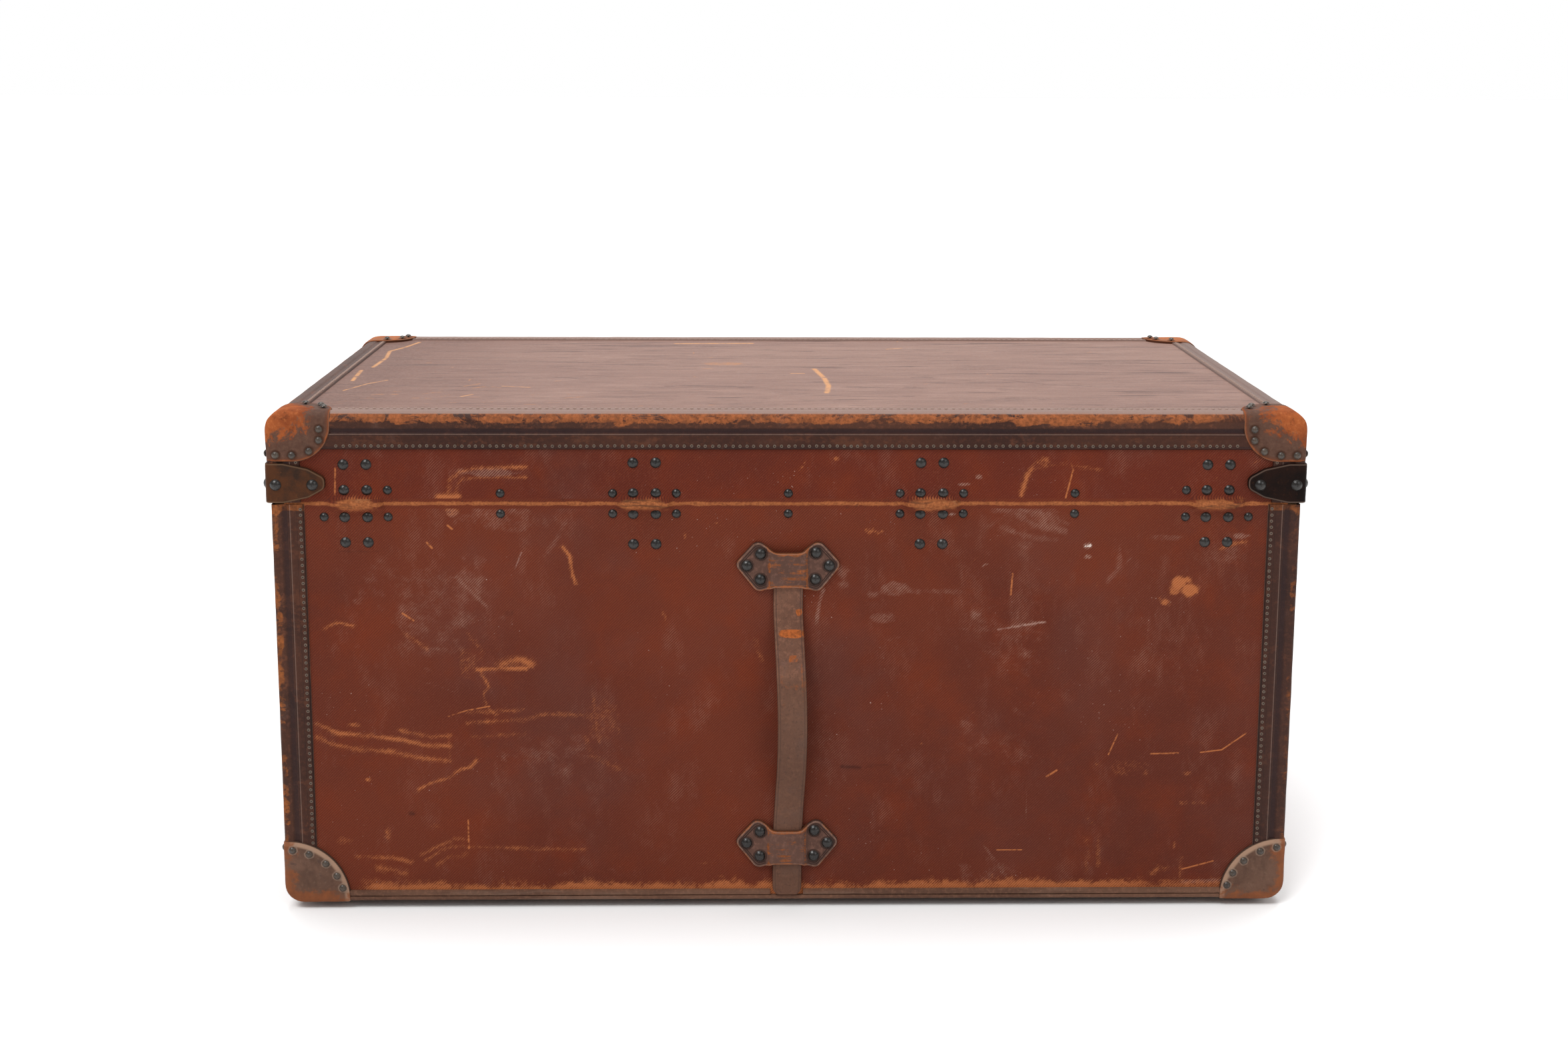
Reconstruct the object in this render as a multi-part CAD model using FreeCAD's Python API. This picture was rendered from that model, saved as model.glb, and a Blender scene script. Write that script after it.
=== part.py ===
"""Canvas-covered travelling trunk with leather edges and a lid on concealed hinges.

Millimetres, +Z up. The origin is on the floor under the middle of the trunk. The hinged
back faces -Y, the lock side +Y, and +X is to the right when the back is looked at.
"""
import FreeCAD, Part
import math
import os

# Whole trunk
body_width = 1090.0          # over the leather edging of the body
depth = 572.0                # over the leather edging, back to front
body_rise = 443.0            # lower edge of the edging to the seam
lid_rise = 99.0              # seam to the top of the lid's edging
lid_overhang = 3.0           # the lid stands out past each end of the body
floor_gap = 9.0              # lower edge of the edging above the floor

# Walls and skins
board = 10.0
canvas = 1.0
lining = 0.8
edging = 3.0                 # leather edging on the canvas
cap_leather = 2.0            # corner caps and brackets on the edging
seam_gap = 0.4               # between the rims of the closed lid and the body
overrun = 20.0               # how far a cutting tool passes what it cuts
full_turn = 360

# Rounding of the wooden carcass; each skin over it adds its own thickness
end_round = 18.0             # edges that run front to back
top_round = 10.0             # long edges of the lid
upright_round = 1.0
upright_round_share = 0.8    # share of a skin's thickness that its upright edge gains
sole_round = 1.0             # long edges under the body
sole_round_share = 0.4

# Leather edging
upright_leg = 35.0
lid_face_leg = 41.0          # down the sides of the lid
lid_top_leg = 28.0           # on top, along the back and the front
roll_width = 10.3            # rolled outer edge of an upright leg
lid_roll_width = 18.0
groove_width = 6.0
groove_depth = 1.2
edging_stop = 45.0           # edging ends this far from a corner, under the cap
upright_top_gap = 3.0        # room that the lid's turning corner needs

# Strips along the lower edge
strip_height = 5.4
strip_leg = 25.0
batten_height = 6.3
notch_width = 36.0

# Corner caps: reach along the long side, along the depth, and up or down
body_cap_long = 72.0
body_cap_deep = 72.0
body_cap_high = 71.0
body_cap_arc = 66.0
lid_cap_long = 70.0
lid_cap_deep = 54.0
lid_cap_high = 56.0
lid_cap_arc = 40.0

# Metal brackets on the lower corners of the lid
bracket_reach = 61.0
bracket_height = 42.4
bracket_rise = 1.2           # lower edge above the lid's rim
bracket_flat_share = 0.3     # share of the reach with its full height
bracket_shoulder_share = 0.72
bracket_slope_share = 0.73   # height at the shoulder
bracket_tip_share = 0.28
bracket_corner_radius = 14.0
bracket_tip_radius = 7.0

# Concealed hinges under the canvas of the back
outer_hinge_inset = 89.0     # middle of an outer hinge from the end of the body
inner_hinge_share = 1 / 3    # place of an inner hinge as a share of the outer hinge's
leaf_width = 44.0
leaf_height = 54.0
leaf = 2.0
leaf_gap = 0.3               # between a leaf and its pocket
middle_knuckle_share = 1 / 3
knuckle_radius = 4.0
knuckle_sink = 0.5           # how far the knuckle reaches into the face of the board
knuckle_gap = 0.3
pin_radius = 2.0
pin_head = 1.2
pin_head_radius = 3.0
web_low = 2.3
web_high = 0.4
fit = 0.08                   # radial clearance of shanks and pins
bulge_gap = 0.35             # canvas off the knuckles
strip_half = 5.4             # half height of the canvas that bends at the seam

# Domed rivets: head width, head height, shank width
large_head = 12.0
large_dome = 3.4
large_shank = 4.0
small_head = 9.6
small_dome = 2.8
small_shank = 3.4
cap_head = 7.7
cap_dome = 2.2
cap_shank = 2.8
clench = 9.0                 # washer on the inside
clench_thickness = 1.2
blind_bite = 3.0             # how deep a short rivet goes into the board
column = 24.0                # between the two columns of rivets on a hinge
inner_near_row = 11.0
inner_far_row = 44.0
outer_near_row = 14.5
outer_far_row = 42.0
tack_offset = 33.6           # small rivet beside a hinge

# Leather loops and straps
loop_leather = 4.0
bridge_leather = 3.5
strap_width = 31.5
strap_thickness = 5.0
strap_side_gap = 0.6
strap_face_gap = 0.3
bridge_wall = 4.5
upper_loop_drop = 67.3       # middle of the loop below the seam
lower_loop_rise = 65.2       # middle of the loop above the lower edge of the edging
strap_end_rise = 6.8
strap_overlap = 13.3         # strap past the middle of the upper loop
strap_bow = 24.0
strap_travel = 6.0
strap_lead = 3.0             # straight strap past a loop
strap_inner_arc_share = 0.35
loop_lobe_x = 33.0
loop_lobe_z = 29.0
loop_tip_x = 57.5
loop_tip_z = 2.0
loop_waist_x = 14.0
loop_waist_top = 15.5
loop_waist_low = 22.8
loop_lobe_radius = 9.0
loop_tip_radius = 8.0
loop_waist_radius = 13.0
loop_rivet_places = ((-29.0, 13.6), (-43.6, 0.6), (-29.2, -14.4), (29.6, 14.8), (43.8, 0.6), (29.0, -14.2))

# Handles on the two ends
end_handle_drop = 202.0      # below the seam
end_loop_y = 112.0
end_strap_end = 15.0         # strap past the middle of a loop
end_strap_bow = 20.0
end_strap_travel = 4.0

# Lining and closing lip
lip_thickness = 5.0
lip_rise = 12.0
lip_depth = 60.0
lip_gap = 0.6
lip_back_gap = 30.0

# Runners under the bottom
runner_end_inset = 55.0
runner_side_inset = 76.0
runner_width = 40.0

# Lock and clasps on the front
hasp_plate = 2.6
hasp_gap = 0.4
hasp_eye_radius = 4.0
hasp_pin_radius = 1.6
hasp_ear = 6.0
hasp_tip_share = 1 / 3       # corner radius of the hasp's lower end as a share of its width
ear_gap = 0.3
mount_plate = 1.5
case_depth = 9.0
case_drop = 3.0              # top of the case below the seam
hasp_axis_rise = 30.0
hinge_plate_height = 26.0
hinge_plate_margin = 13.0
plate_margin = 14.0
plate_corner = 6.0
case_corner = 5.0
staple_width = 9.0
staple_height = 9.0
staple_reach = 7.0
staple_hole = 4.4
staple_tip = 16.0            # middle of the staple above the hasp's lower end
slot_side_gap = 1.0
slot_floor_gap = 1.4
slot_back = 1.6
lock_width = 34.0
lock_drop = 66.0
lock_case_width = 62.0
lock_case_height = 48.0
clasp_width = 24.0
clasp_drop = 56.0
clasp_case_width = 40.0
clasp_case_height = 38.0
clasp_inset = 215.0          # middle of a clasp from the end of the body
key_x = 24.0
key_drop = 18.0              # keyhole below the top of the case
key_width = 3.0
key_height = 9.0
cover_thickness = 1.4
cover_radius = 5.5
cover_round_share = 0.98     # corner radius as a share of the half width
cover_length = 15.0
cover_gap = 0.2
cover_pin_radius = 1.5
cover_pin_head = 3.2
cover_pin_dome = 1.2

# Places of cap rivets as shares of the cap's reach from its corner, face by face
body_long_face_shares = ((0.156, 0.86), (0.403, 0.796), (0.649, 0.644), (0.81, 0.446), (0.893, 0.25))
body_end_face_shares = ((0.156, 0.86), (0.403, 0.796), (0.649, 0.644), (0.79, 0.48))
lid_long_face_shares = ((0.84, 0.37), (0.834, 0.58), (0.68, 0.79), (0.423, 0.866), (0.18, 0.864))
lid_end_face_shares = ((0.78, 0.66), (0.56, 0.84), (0.22, 0.864))
lid_top_face_shares = ((0.86, 0.42), (0.78, 0.66), (0.52, 0.84))
bracket_rivet_shares = (0.19, 0.82)
bracket_rivet_height_share = 0.46

# Heights and half sizes that follow from the sizes above
foot_z = floor_gap
seam_z = foot_z + body_rise
rim_z = seam_z + seam_gap
top_z = rim_z + lid_rise
skin = canvas + edging
lid_width = body_width + 2 * lid_overhang
body_half_x = body_width / 2 - skin
lid_half_x = lid_width / 2 - skin
half_y = depth / 2 - skin
board_foot_z = foot_z + skin
board_top_z = top_z - skin
inner_x = body_half_x - board
inner_y = half_y - board
floor_z = board_foot_z + board
ceiling_z = board_top_z - board
canvas_y = half_y + canvas
axis_y = -(half_y + knuckle_radius - knuckle_sink)
axis_z = seam_z + seam_gap / 2
outer_hinge_x = body_width / 2 - outer_hinge_inset
inner_hinge_x = outer_hinge_x * inner_hinge_share
clasp_x = body_width / 2 - clasp_inset
upper_loop_z = seam_z - upper_loop_drop
lower_loop_z = foot_z + lower_loop_rise
strap_end_z = foot_z + strap_end_rise
strap_top_z = upper_loop_z + strap_overlap
end_handle_z = seam_z - end_handle_drop
hinge_places = (
    (-outer_hinge_x, outer_near_row, outer_far_row),
    (-inner_hinge_x, inner_near_row, inner_far_row),
    (inner_hinge_x, inner_near_row, inner_far_row),
    (outer_hinge_x, outer_near_row, outer_far_row),
)

V = FreeCAD.Vector
nodes = {}


def box(x0, x1, y0, y1, z0, z1):
    low = V(min(x0, x1), min(y0, y1), min(z0, z1))
    return Part.makeBox(abs(x1 - x0), abs(y1 - y0), abs(z1 - z0), low)


def outline(points):
    """Closed wire in the plane of the points, each given as (vector, corner radius)."""
    count = len(points)
    starts, ends, middles = [], [], []
    for i in range(count):
        here, radius = points[i]
        to_last = (points[i - 1][0] - here).normalize()
        to_next = (points[(i + 1) % count][0] - here).normalize()
        half_angle = to_last.getAngle(to_next) / 2
        if radius == 0:
            starts.append(here)
            ends.append(here)
            middles.append(None)
            continue
        cut_back = radius / math.tan(half_angle)
        starts.append(here + to_last * cut_back)
        ends.append(here + to_next * cut_back)
        bisector = (to_last + to_next).normalize()
        middles.append(here + bisector * (radius / math.sin(half_angle) - radius))
    edges = []
    for i in range(count):
        if middles[i] is not None:
            edges.append(Part.Arc(starts[i], middles[i], ends[i]).toShape())
        following = starts[(i + 1) % count]
        if ends[i].distanceToPoint(following) > Part.Precision.confusion():
            edges.append(Part.LineSegment(ends[i], following).toShape())
    return Part.Wire(edges)


def slab(points, direction):
    """Solid from an outline, drawn out along a vector."""
    return Part.Face(outline(points)).extrude(direction)


def carcass(half_x, z0, z1, offset, is_lid):
    """Rounded block around the boards: offset is the thickness of the skins on them."""
    x = half_x + offset
    y = half_y + offset
    low = z0 if is_lid else z0 - offset
    high = z1 + offset if is_lid else z1
    end_r = end_round + offset
    long_r = top_round + offset if is_lid else sole_round + offset * sole_round_share
    upright_r = upright_round + offset * upright_round_share
    low_end, high_end = (0, end_r) if is_lid else (end_r, 0)
    low_long, high_long = (0, long_r) if is_lid else (long_r, 0)
    front_view = slab(
        [(V(-x, -y, low), low_end), (V(x, -y, low), low_end), (V(x, -y, high), high_end),
         (V(-x, -y, high), high_end)],
        V(0, 2 * y, 0),
    )
    side_view = slab(
        [(V(-x, -y, low), low_long), (V(-x, y, low), low_long), (V(-x, y, high), high_long),
         (V(-x, -y, high), high_long)],
        V(2 * x, 0, 0),
    )
    plan = slab(
        [(V(-x, -y, low), upright_r), (V(x, -y, low), upright_r), (V(x, y, low), upright_r),
         (V(-x, y, low), upright_r)],
        V(0, 0, high - low),
    )
    return front_view.common(side_view).common(plan)


def body_block(offset):
    return carcass(body_half_x, board_foot_z, seam_z, offset, False)


def lid_block(offset):
    return carcass(lid_half_x, rim_z, board_top_z, offset, True)


def group(solids):
    return Part.makeCompound([part for solid in solids for part in solid.Solids])


def cut_all(shape, tools):
    return shape.cut(tools) if tools else shape


def turned_x(radius, x0, x1, y, z):
    """Round bar along X."""
    return Part.makeCylinder(radius, x1 - x0, V(x0, y, z), V(1, 0, 0))


def hinge_line(radius, margin):
    """Round bars on the axis of the lid, one at each hinge."""
    reach = leaf_width / 2 + margin
    return [turned_x(radius, x - reach, x + reach, axis_y, axis_z) for x, near, far in hinge_places]


def make_carcass_boards():
    hollow = box(-inner_x, inner_x, -inner_y, inner_y, floor_z, seam_z + overrun)
    shell = body_block(0).cut(hollow)
    outer = body_half_x + overrun
    outer_y = half_y + overrun
    high = seam_z + overrun
    nodes["bottom_board"] = shell.common(box(-outer, outer, -outer_y, outer_y, 0, floor_z))
    nodes["back_board"] = shell.common(box(-outer, outer, -outer_y, -inner_y, floor_z, high))
    nodes["front_board"] = shell.common(box(-outer, outer, inner_y, outer_y, floor_z, high))
    nodes["left_board"] = shell.common(box(-outer, -inner_x, -inner_y, inner_y, floor_z, high))
    nodes["right_board"] = shell.common(box(inner_x, outer, -inner_y, inner_y, floor_z, high))

    lid_hollow = box(-inner_x, inner_x, -inner_y, inner_y, rim_z - overrun, ceiling_z)
    lid_shell = lid_block(0).cut(lid_hollow)
    low = rim_z - overrun
    outer = lid_half_x + overrun
    nodes["lid_top_board"] = lid_shell.common(box(-outer, outer, -outer_y, outer_y, ceiling_z, top_z))
    nodes["lid_back_rail"] = lid_shell.common(box(-outer, outer, -outer_y, -inner_y, low, ceiling_z))
    nodes["lid_front_rail"] = lid_shell.common(box(-outer, outer, inner_y, outer_y, low, ceiling_z))
    nodes["lid_left_rail"] = lid_shell.common(box(-outer, -inner_x, -inner_y, inner_y, low, ceiling_z))
    nodes["lid_right_rail"] = lid_shell.common(box(inner_x, outer, -inner_y, inner_y, low, ceiling_z))

    pockets = []
    for x, near, far in hinge_places:
        reach = leaf_width / 2 + leaf_gap
        tall = leaf_height + leaf_gap
        pockets.append(box(x - reach, x + reach, -half_y - overrun, -half_y + leaf, axis_z - tall,
                           axis_z + tall))
    relief = hinge_line(knuckle_radius + leaf_gap, leaf_gap)
    for name in ("back_board", "lid_back_rail"):
        nodes[name] = nodes[name].cut(pockets + relief)


def make_skins():
    bend = box(-inner_x, inner_x, -canvas_y - overrun, -half_y, axis_z - strip_half, axis_z + strip_half)
    nodes["body_canvas"] = body_block(canvas).cut(body_block(0)).cut(bend)
    nodes["lid_canvas"] = lid_block(canvas).cut(lid_block(0)).cut(bend)

    outer = knuckle_radius + bulge_gap + canvas
    sheet = bend.common(box(-inner_x, inner_x, -canvas_y, -half_y, 0, top_z))
    bulges = hinge_line(outer, pin_head + leaf_gap + canvas)
    hollows = hinge_line(knuckle_radius + bulge_gap, pin_head + leaf_gap)
    behind = box(-body_half_x, body_half_x, -half_y, half_y, 0, top_z)
    strip = sheet.fuse(bulges).cut(hollows).cut(behind).removeSplitter()
    nodes["hinge_canvas"] = strip

    lip_foot = seam_z - lip_depth
    skin_x = inner_x - lining
    skin_y = inner_y - lining
    room = box(-inner_x, inner_x, -inner_y, inner_y, floor_z, lip_foot)
    nodes["body_lining"] = room.cut(box(-skin_x, skin_x, -skin_y, skin_y, floor_z + lining, seam_z))
    lid_lining_foot = axis_z + outer_near_row + clench / 2 + lip_gap
    lid_room = box(-inner_x, inner_x, -inner_y, inner_y, lid_lining_foot, ceiling_z)
    nodes["lid_lining"] = lid_room.cut(box(-skin_x, skin_x, -skin_y, skin_y, rim_z, ceiling_z - lining))


def make_closing_lip():
    """Wooden lip inside the front and ends, which the closing lid slips over."""
    foot = seam_z - lip_depth
    back = -inner_y + lip_back_gap
    ring = box(-inner_x, inner_x, back, inner_y, foot, seam_z)
    clear_x = inner_x - lip_gap
    upper = box(-clear_x, clear_x, back, inner_y - lip_gap, seam_z, seam_z + lip_rise)
    hollow = box(-inner_x + lip_thickness, inner_x - lip_thickness, back - overrun, inner_y - lip_thickness,
                 foot - overrun, seam_z + lip_rise + overrun)
    nodes["closing_lip"] = ring.fuse(upper).cut(hollow).removeSplitter()


def make_body_edging():
    shell = body_block(skin).cut(body_block(canvas))
    x_in = body_width / 2 - upright_leg
    y_in = depth / 2 - upright_leg
    x_out = body_width / 2 + overrun
    y_out = depth / 2 + overrun
    low = foot_z + edging_stop
    high = seam_z - upright_top_gap
    uprights = []
    for side in (-1, 1):
        for face in (-1, 1):
            piece = shell.common(box(side * x_in, side * x_out, face * y_in, face * y_out, low, high))
            groove_x = side * (body_width / 2 - roll_width)
            groove_y = face * (depth / 2 - roll_width)
            groove_face = face * (depth / 2 - groove_depth)
            groove_end = side * (body_width / 2 - groove_depth)
            grooves = [
                box(groove_x, groove_x - side * groove_width, groove_face, face * y_out, low, high),
                box(groove_end, side * x_out, groove_y, groove_y - face * groove_width, low, high),
            ]
            uprights.append(piece.cut(grooves))
    nodes["body_corner_edging"] = group(uprights)

    x_end = body_width / 2 - edging_stop
    y_end = depth / 2 - edging_stop
    strip_top = foot_z + strip_height
    batten_top = strip_top + batten_height
    leg_y = depth / 2 - strip_leg
    leg_x = body_width / 2 - strip_leg
    strips, battens = [], []
    notch = box(-notch_width / 2, notch_width / 2, -y_out, 0, strip_top, batten_top)
    for face in (-1, 1):
        strips.append(shell.common(box(-x_end, x_end, face * leg_y, face * y_out, 0, strip_top)))
        batten = shell.common(box(-x_end, x_end, face * leg_y, face * y_out, strip_top, batten_top))
        battens.append(batten.cut(notch))
    for side in (-1, 1):
        strips.append(shell.common(box(side * leg_x, side * x_out, -y_end, y_end, 0, batten_top)))
    nodes["lower_strips"] = group(strips)
    nodes["lower_battens"] = group(battens)


def make_lid_edging():
    shell = lid_block(skin).cut(lid_block(canvas))
    half_x = lid_width / 2
    half_d = depth / 2
    x_out = half_x + overrun
    y_out = half_d + overrun
    face_low = top_z - lid_face_leg
    window = box(-half_x + upright_leg, half_x - upright_leg, -half_d + lid_top_leg, half_d - lid_top_leg,
                 rim_z, top_z + overrun)
    ring = shell.common(box(-x_out, x_out, -y_out, y_out, face_low, top_z)).cut(window)
    corners = []
    uprights = []
    for side in (-1, 1):
        for face in (-1, 1):
            stop_x = side * (half_x - edging_stop)
            stop_y = face * (half_d - edging_stop / 2)
            corners.append(box(stop_x, side * x_out, stop_y, face * y_out, top_z - edging_stop / 2,
                               top_z + overrun))
            corners.append(box(side * (half_x - upright_leg), side * x_out,
                               face * (half_d - edging_stop), face * y_out, face_low, top_z + overrun))
            corners.append(box(stop_x, side * x_out, face * (half_d - lid_top_leg), face * y_out,
                               face_low, top_z + overrun))
            upright = box(side * (half_x - upright_leg), side * x_out, face * (half_d - upright_leg), face * y_out,
                          rim_z + bracket_rise, face_low)
            uprights.append(shell.common(upright))
    grooves = []
    groove_top = top_z - lid_roll_width
    top_face = top_z - groove_depth
    for face in (-1, 1):
        plane = face * (half_d - groove_depth)
        inward = face * (half_d - lid_roll_width)
        grooves.append(box(-x_out, x_out, plane, face * y_out, groove_top - groove_width, groove_top))
        grooves.append(box(-x_out, x_out, inward, inward - face * groove_width, top_face, top_z + overrun))
    for side in (-1, 1):
        inward = side * (half_x - end_round - skin)
        grooves.append(box(inward, inward - side * groove_width, -y_out, y_out, top_face, top_z + overrun))
    nodes["lid_edging"] = ring.cut(corners + grooves)
    nodes["lid_corner_edging"] = group(uprights)


def quarter(corner_h, corner_v, reach_h, reach_v, arc, sense_h, sense_v, place):
    """Outline of a cap on one face: a rectangle at the corner with one large arc."""
    out_h = corner_h + sense_h * overrun
    out_v = corner_v + sense_v * overrun
    far_h = corner_h - sense_h * reach_h
    far_v = corner_v - sense_v * reach_v
    return [(place(out_h, out_v), 0), (place(far_h, out_v), 0), (place(far_h, far_v), arc),
            (place(out_h, far_v), 0)]


def corner_cap(shell, half_x, z_corner, reaches, arc, side, face, up):
    """Leather cap over one corner, cut from the shell by its outline on the three faces."""
    long_reach, deep_reach, high_reach = reaches
    x = side * (half_x + skin + cap_leather)
    y = face * (half_y + skin + cap_leather)
    far_x = 2 * (half_x + overrun)
    far_y = 2 * (half_y + overrun)
    on_long = quarter(x, z_corner, long_reach, high_reach, arc, side, up,
                      lambda h, v: V(h, y + face * overrun, v))
    on_end = quarter(y, z_corner, deep_reach, high_reach, arc, face, up,
                     lambda h, v: V(x + side * overrun, h, v))
    on_flat = quarter(x, y, long_reach, deep_reach, arc, side, face,
                      lambda h, v: V(h, v, z_corner + up * overrun))
    cap = shell.common(slab(on_long, V(0, -face * far_y, 0)))
    cap = cap.common(slab(on_end, V(-side * far_x, 0, 0)))
    return cap.common(slab(on_flat, V(0, 0, -up * (high_reach + 2 * overrun))))


def make_caps():
    body_shell = body_block(skin + cap_leather).cut(body_block(skin))
    lid_shell = lid_block(skin + cap_leather).cut(lid_block(skin))
    body_reach = (body_cap_long, body_cap_deep, body_cap_high)
    lid_reach = (lid_cap_long, lid_cap_deep, lid_cap_high)
    body_z = foot_z - cap_leather
    lid_z = top_z + cap_leather
    for side, side_name in ((-1, "left"), (1, "right")):
        for face, face_name in ((-1, "back"), (1, "front")):
            tail = face_name + "_" + side_name
            nodes["body_cap_" + tail] = corner_cap(
                body_shell, body_half_x, body_z, body_reach, body_cap_arc, side, face, -1)
            nodes["lid_cap_" + tail] = corner_cap(
                lid_shell, lid_half_x, lid_z, lid_reach, lid_cap_arc, side, face, 1)


def bracket_outline(corner, side, place):
    """Pointed arch that lies on one face of the lid's corner."""
    half = bracket_height / 2
    middle = rim_z + bracket_rise + half
    out = corner + side * overrun
    flat = corner - side * bracket_reach * bracket_flat_share
    shoulder = corner - side * bracket_reach * bracket_shoulder_share
    tip = corner - side * bracket_reach
    upper = [(out, half, 0), (flat, half, bracket_corner_radius),
             (shoulder, half * bracket_slope_share, bracket_corner_radius),
             (tip, half * bracket_tip_share, bracket_tip_radius)]
    lower = [(h, -v, radius) for h, v, radius in reversed(upper)]
    return [(place(h, middle + v), radius) for h, v, radius in upper + lower]


def make_brackets():
    shell = lid_block(skin + cap_leather).cut(lid_block(skin))
    wrap = upright_round + (skin + cap_leather) * upright_round_share
    for face, name in ((-1, "back_brackets"), (1, "front_brackets")):
        pieces = []
        for side in (-1, 1):
            x = side * (lid_width / 2 + cap_leather)
            y = face * (depth / 2 + cap_leather)
            on_long = bracket_outline(x, side, lambda h, v: V(h, y + face * overrun, v))
            on_end = bracket_outline(y, face, lambda h, v: V(x + side * overrun, h, v))
            wings = slab(on_long, V(0, -face * (overrun + wrap), 0))
            wings = wings.fuse(slab(on_end, V(-side * (overrun + wrap), 0, 0)))
            pieces.append(shell.common(wings).removeSplitter())
        nodes[name] = group(pieces)


def make_hinges():
    """Three-knuckle butt hinges: the body holds the outer knuckles and the pin."""
    body_leaves, lid_leaves, pins = [], [], []
    third = leaf_width * middle_knuckle_share / 2
    for x, near, far in hinge_places:
        for sense, leaves in ((-1, body_leaves), (1, lid_leaves)):
            edge = seam_gap / 2
            plate = box(x - leaf_width / 2, x + leaf_width / 2, -half_y, -half_y + leaf,
                        axis_z + sense * edge, axis_z + sense * leaf_height)
            spans = [(-third, third)] if sense > 0 else [(-3 * third, -third), (third, 3 * third)]
            others = [(-3 * third, -third), (third, 3 * third)] if sense > 0 else [(-third, third)]
            solid = plate
            for a, b in spans:
                start = a + (knuckle_gap / 2 if a > -3 * third else 0)
                stop = b - (knuckle_gap / 2 if b < 3 * third else 0)
                solid = solid.fuse(turned_x(knuckle_radius, x + start, x + stop, axis_y, axis_z))
                web = box(x + start, x + stop, axis_y, -half_y + leaf, axis_z + sense * web_high,
                          axis_z + sense * web_low)
                solid = solid.fuse(web)
            for a, b in others:
                start = a - (knuckle_gap / 2 if a > -3 * third else overrun)
                stop = b + (knuckle_gap / 2 if b < 3 * third else overrun)
                solid = solid.cut(turned_x(knuckle_radius + knuckle_gap, x + start, x + stop, axis_y, axis_z))
            bore = turned_x(pin_radius + fit, x - leaf_width, x + leaf_width, axis_y, axis_z)
            leaves.append(solid.cut(bore))
        reach = leaf_width / 2
        pin = turned_x(pin_radius, x - reach - pin_head, x + reach + pin_head, axis_y, axis_z)
        for a, b in ((-reach - pin_head, -reach), (reach, reach + pin_head)):
            pin = pin.fuse(turned_x(pin_head_radius, x + a, x + b, axis_y, axis_z))
        pins.append(pin)
    nodes["hinge_leaves_body"] = group(body_leaves)
    nodes["hinge_leaves_lid"] = group(lid_leaves)
    nodes["hinge_pins"] = group(pins)


def loop_outline(middle, place):
    """Winged outline of a handle loop: wide lobes and a narrow waist."""
    points = [(-loop_lobe_x, loop_lobe_z, loop_lobe_radius),
              (-loop_waist_x, loop_waist_top, loop_waist_radius),
              (loop_waist_x, loop_waist_top, loop_waist_radius), (loop_lobe_x, loop_lobe_z, loop_lobe_radius),
              (loop_tip_x, loop_tip_z, loop_tip_radius), (loop_lobe_x, -loop_lobe_z, loop_lobe_radius),
              (loop_waist_x, -loop_waist_low, loop_waist_radius),
              (-loop_waist_x, -loop_waist_low, loop_waist_radius),
              (-loop_lobe_x, -loop_lobe_z, loop_lobe_radius), (-loop_tip_x, loop_tip_z, loop_tip_radius)]
    return [(place(h, middle + v), radius) for h, v, radius in points]


def back_loop(middle):
    """Loop on the back: two lobes on the canvas and a bridge over the strap."""
    tunnel_x = (strap_width / 2) + strap_side_gap
    tunnel_depth = strap_thickness + 2 * strap_face_gap
    plane = -canvas_y
    shape = loop_outline(middle, lambda h, v: V(h, plane, v))
    lobes = slab(shape, V(0, -loop_leather, 0))
    bridge = slab(shape, V(0, -tunnel_depth - bridge_leather, 0))
    reach = tunnel_x + bridge_wall
    high = middle + loop_lobe_z + overrun
    low = middle - loop_lobe_z - overrun
    bridge = bridge.common(box(-reach, reach, plane, plane - tunnel_depth - bridge_leather, low, high))
    tunnel = box(-tunnel_x, tunnel_x, plane + overrun, plane - tunnel_depth, low, high)
    return lobes.fuse(bridge).cut(tunnel).removeSplitter()


def strap_profile(low, high, bend_low, bend_high, bow):
    """Strap seen from its edge: straight ends and a bow of three tangent arcs.

    Points are (height, distance off the wall) of the face next to the wall.
    """
    half_chord = (bend_high - bend_low) / 2
    turn = 2 * math.atan(bow / half_chord)
    both = half_chord / math.sin(turn)
    first = both * strap_inner_arc_share
    main = both - first
    middle = (bend_low + bend_high) / 2
    places = [(bend_low, 0, 0)]
    for angle, radius, centre, off, sign in (
        (turn / 2, first, bend_low, first, 1),
        (turn, first, bend_low, first, 1),
        (turn / 2, main, middle, bow - main, -1),
        (0, main, middle, bow - main, -1),
    ):
        if sign > 0:
            places.append((centre + radius * math.sin(angle), off - radius * math.cos(angle), angle))
        else:
            places.append((centre - radius * math.sin(angle), off + radius * math.cos(angle), angle))
    mirrored = [(2 * middle - z, out, -angle) for z, out, angle in reversed(places[:-1])]
    places = [(low, 0, 0)] + places + mirrored + [(high, 0, 0)]
    near = [V(z, out, 0) for z, out, angle in places]
    far = [V(z - strap_thickness * math.sin(angle), out + strap_thickness * math.cos(angle), 0)
           for z, out, angle in places]
    return near, far


def strap_edges(points):
    edges = [Part.LineSegment(points[0], points[1]).toShape()]
    for i in range(1, len(points) - 2, 2):
        edges.append(Part.Arc(points[i], points[i + 1], points[i + 2]).toShape())
    edges.append(Part.LineSegment(points[-2], points[-1]).toShape())
    return edges


def strap_solid(low, high, bend_low, bend_high, bow):
    """Strap along X in the XY plane, its width along Z; placed by the caller."""
    near, far = strap_profile(low, high, bend_low, bend_high, bow)
    edges = strap_edges(near) + strap_edges(far)
    edges.append(Part.LineSegment(near[0], far[0]).toShape())
    edges.append(Part.LineSegment(near[-1], far[-1]).toShape())
    wire = Part.Wire(Part.__sortEdges__(edges))
    return Part.Face(wire).extrude(V(0, 0, strap_width))


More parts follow.
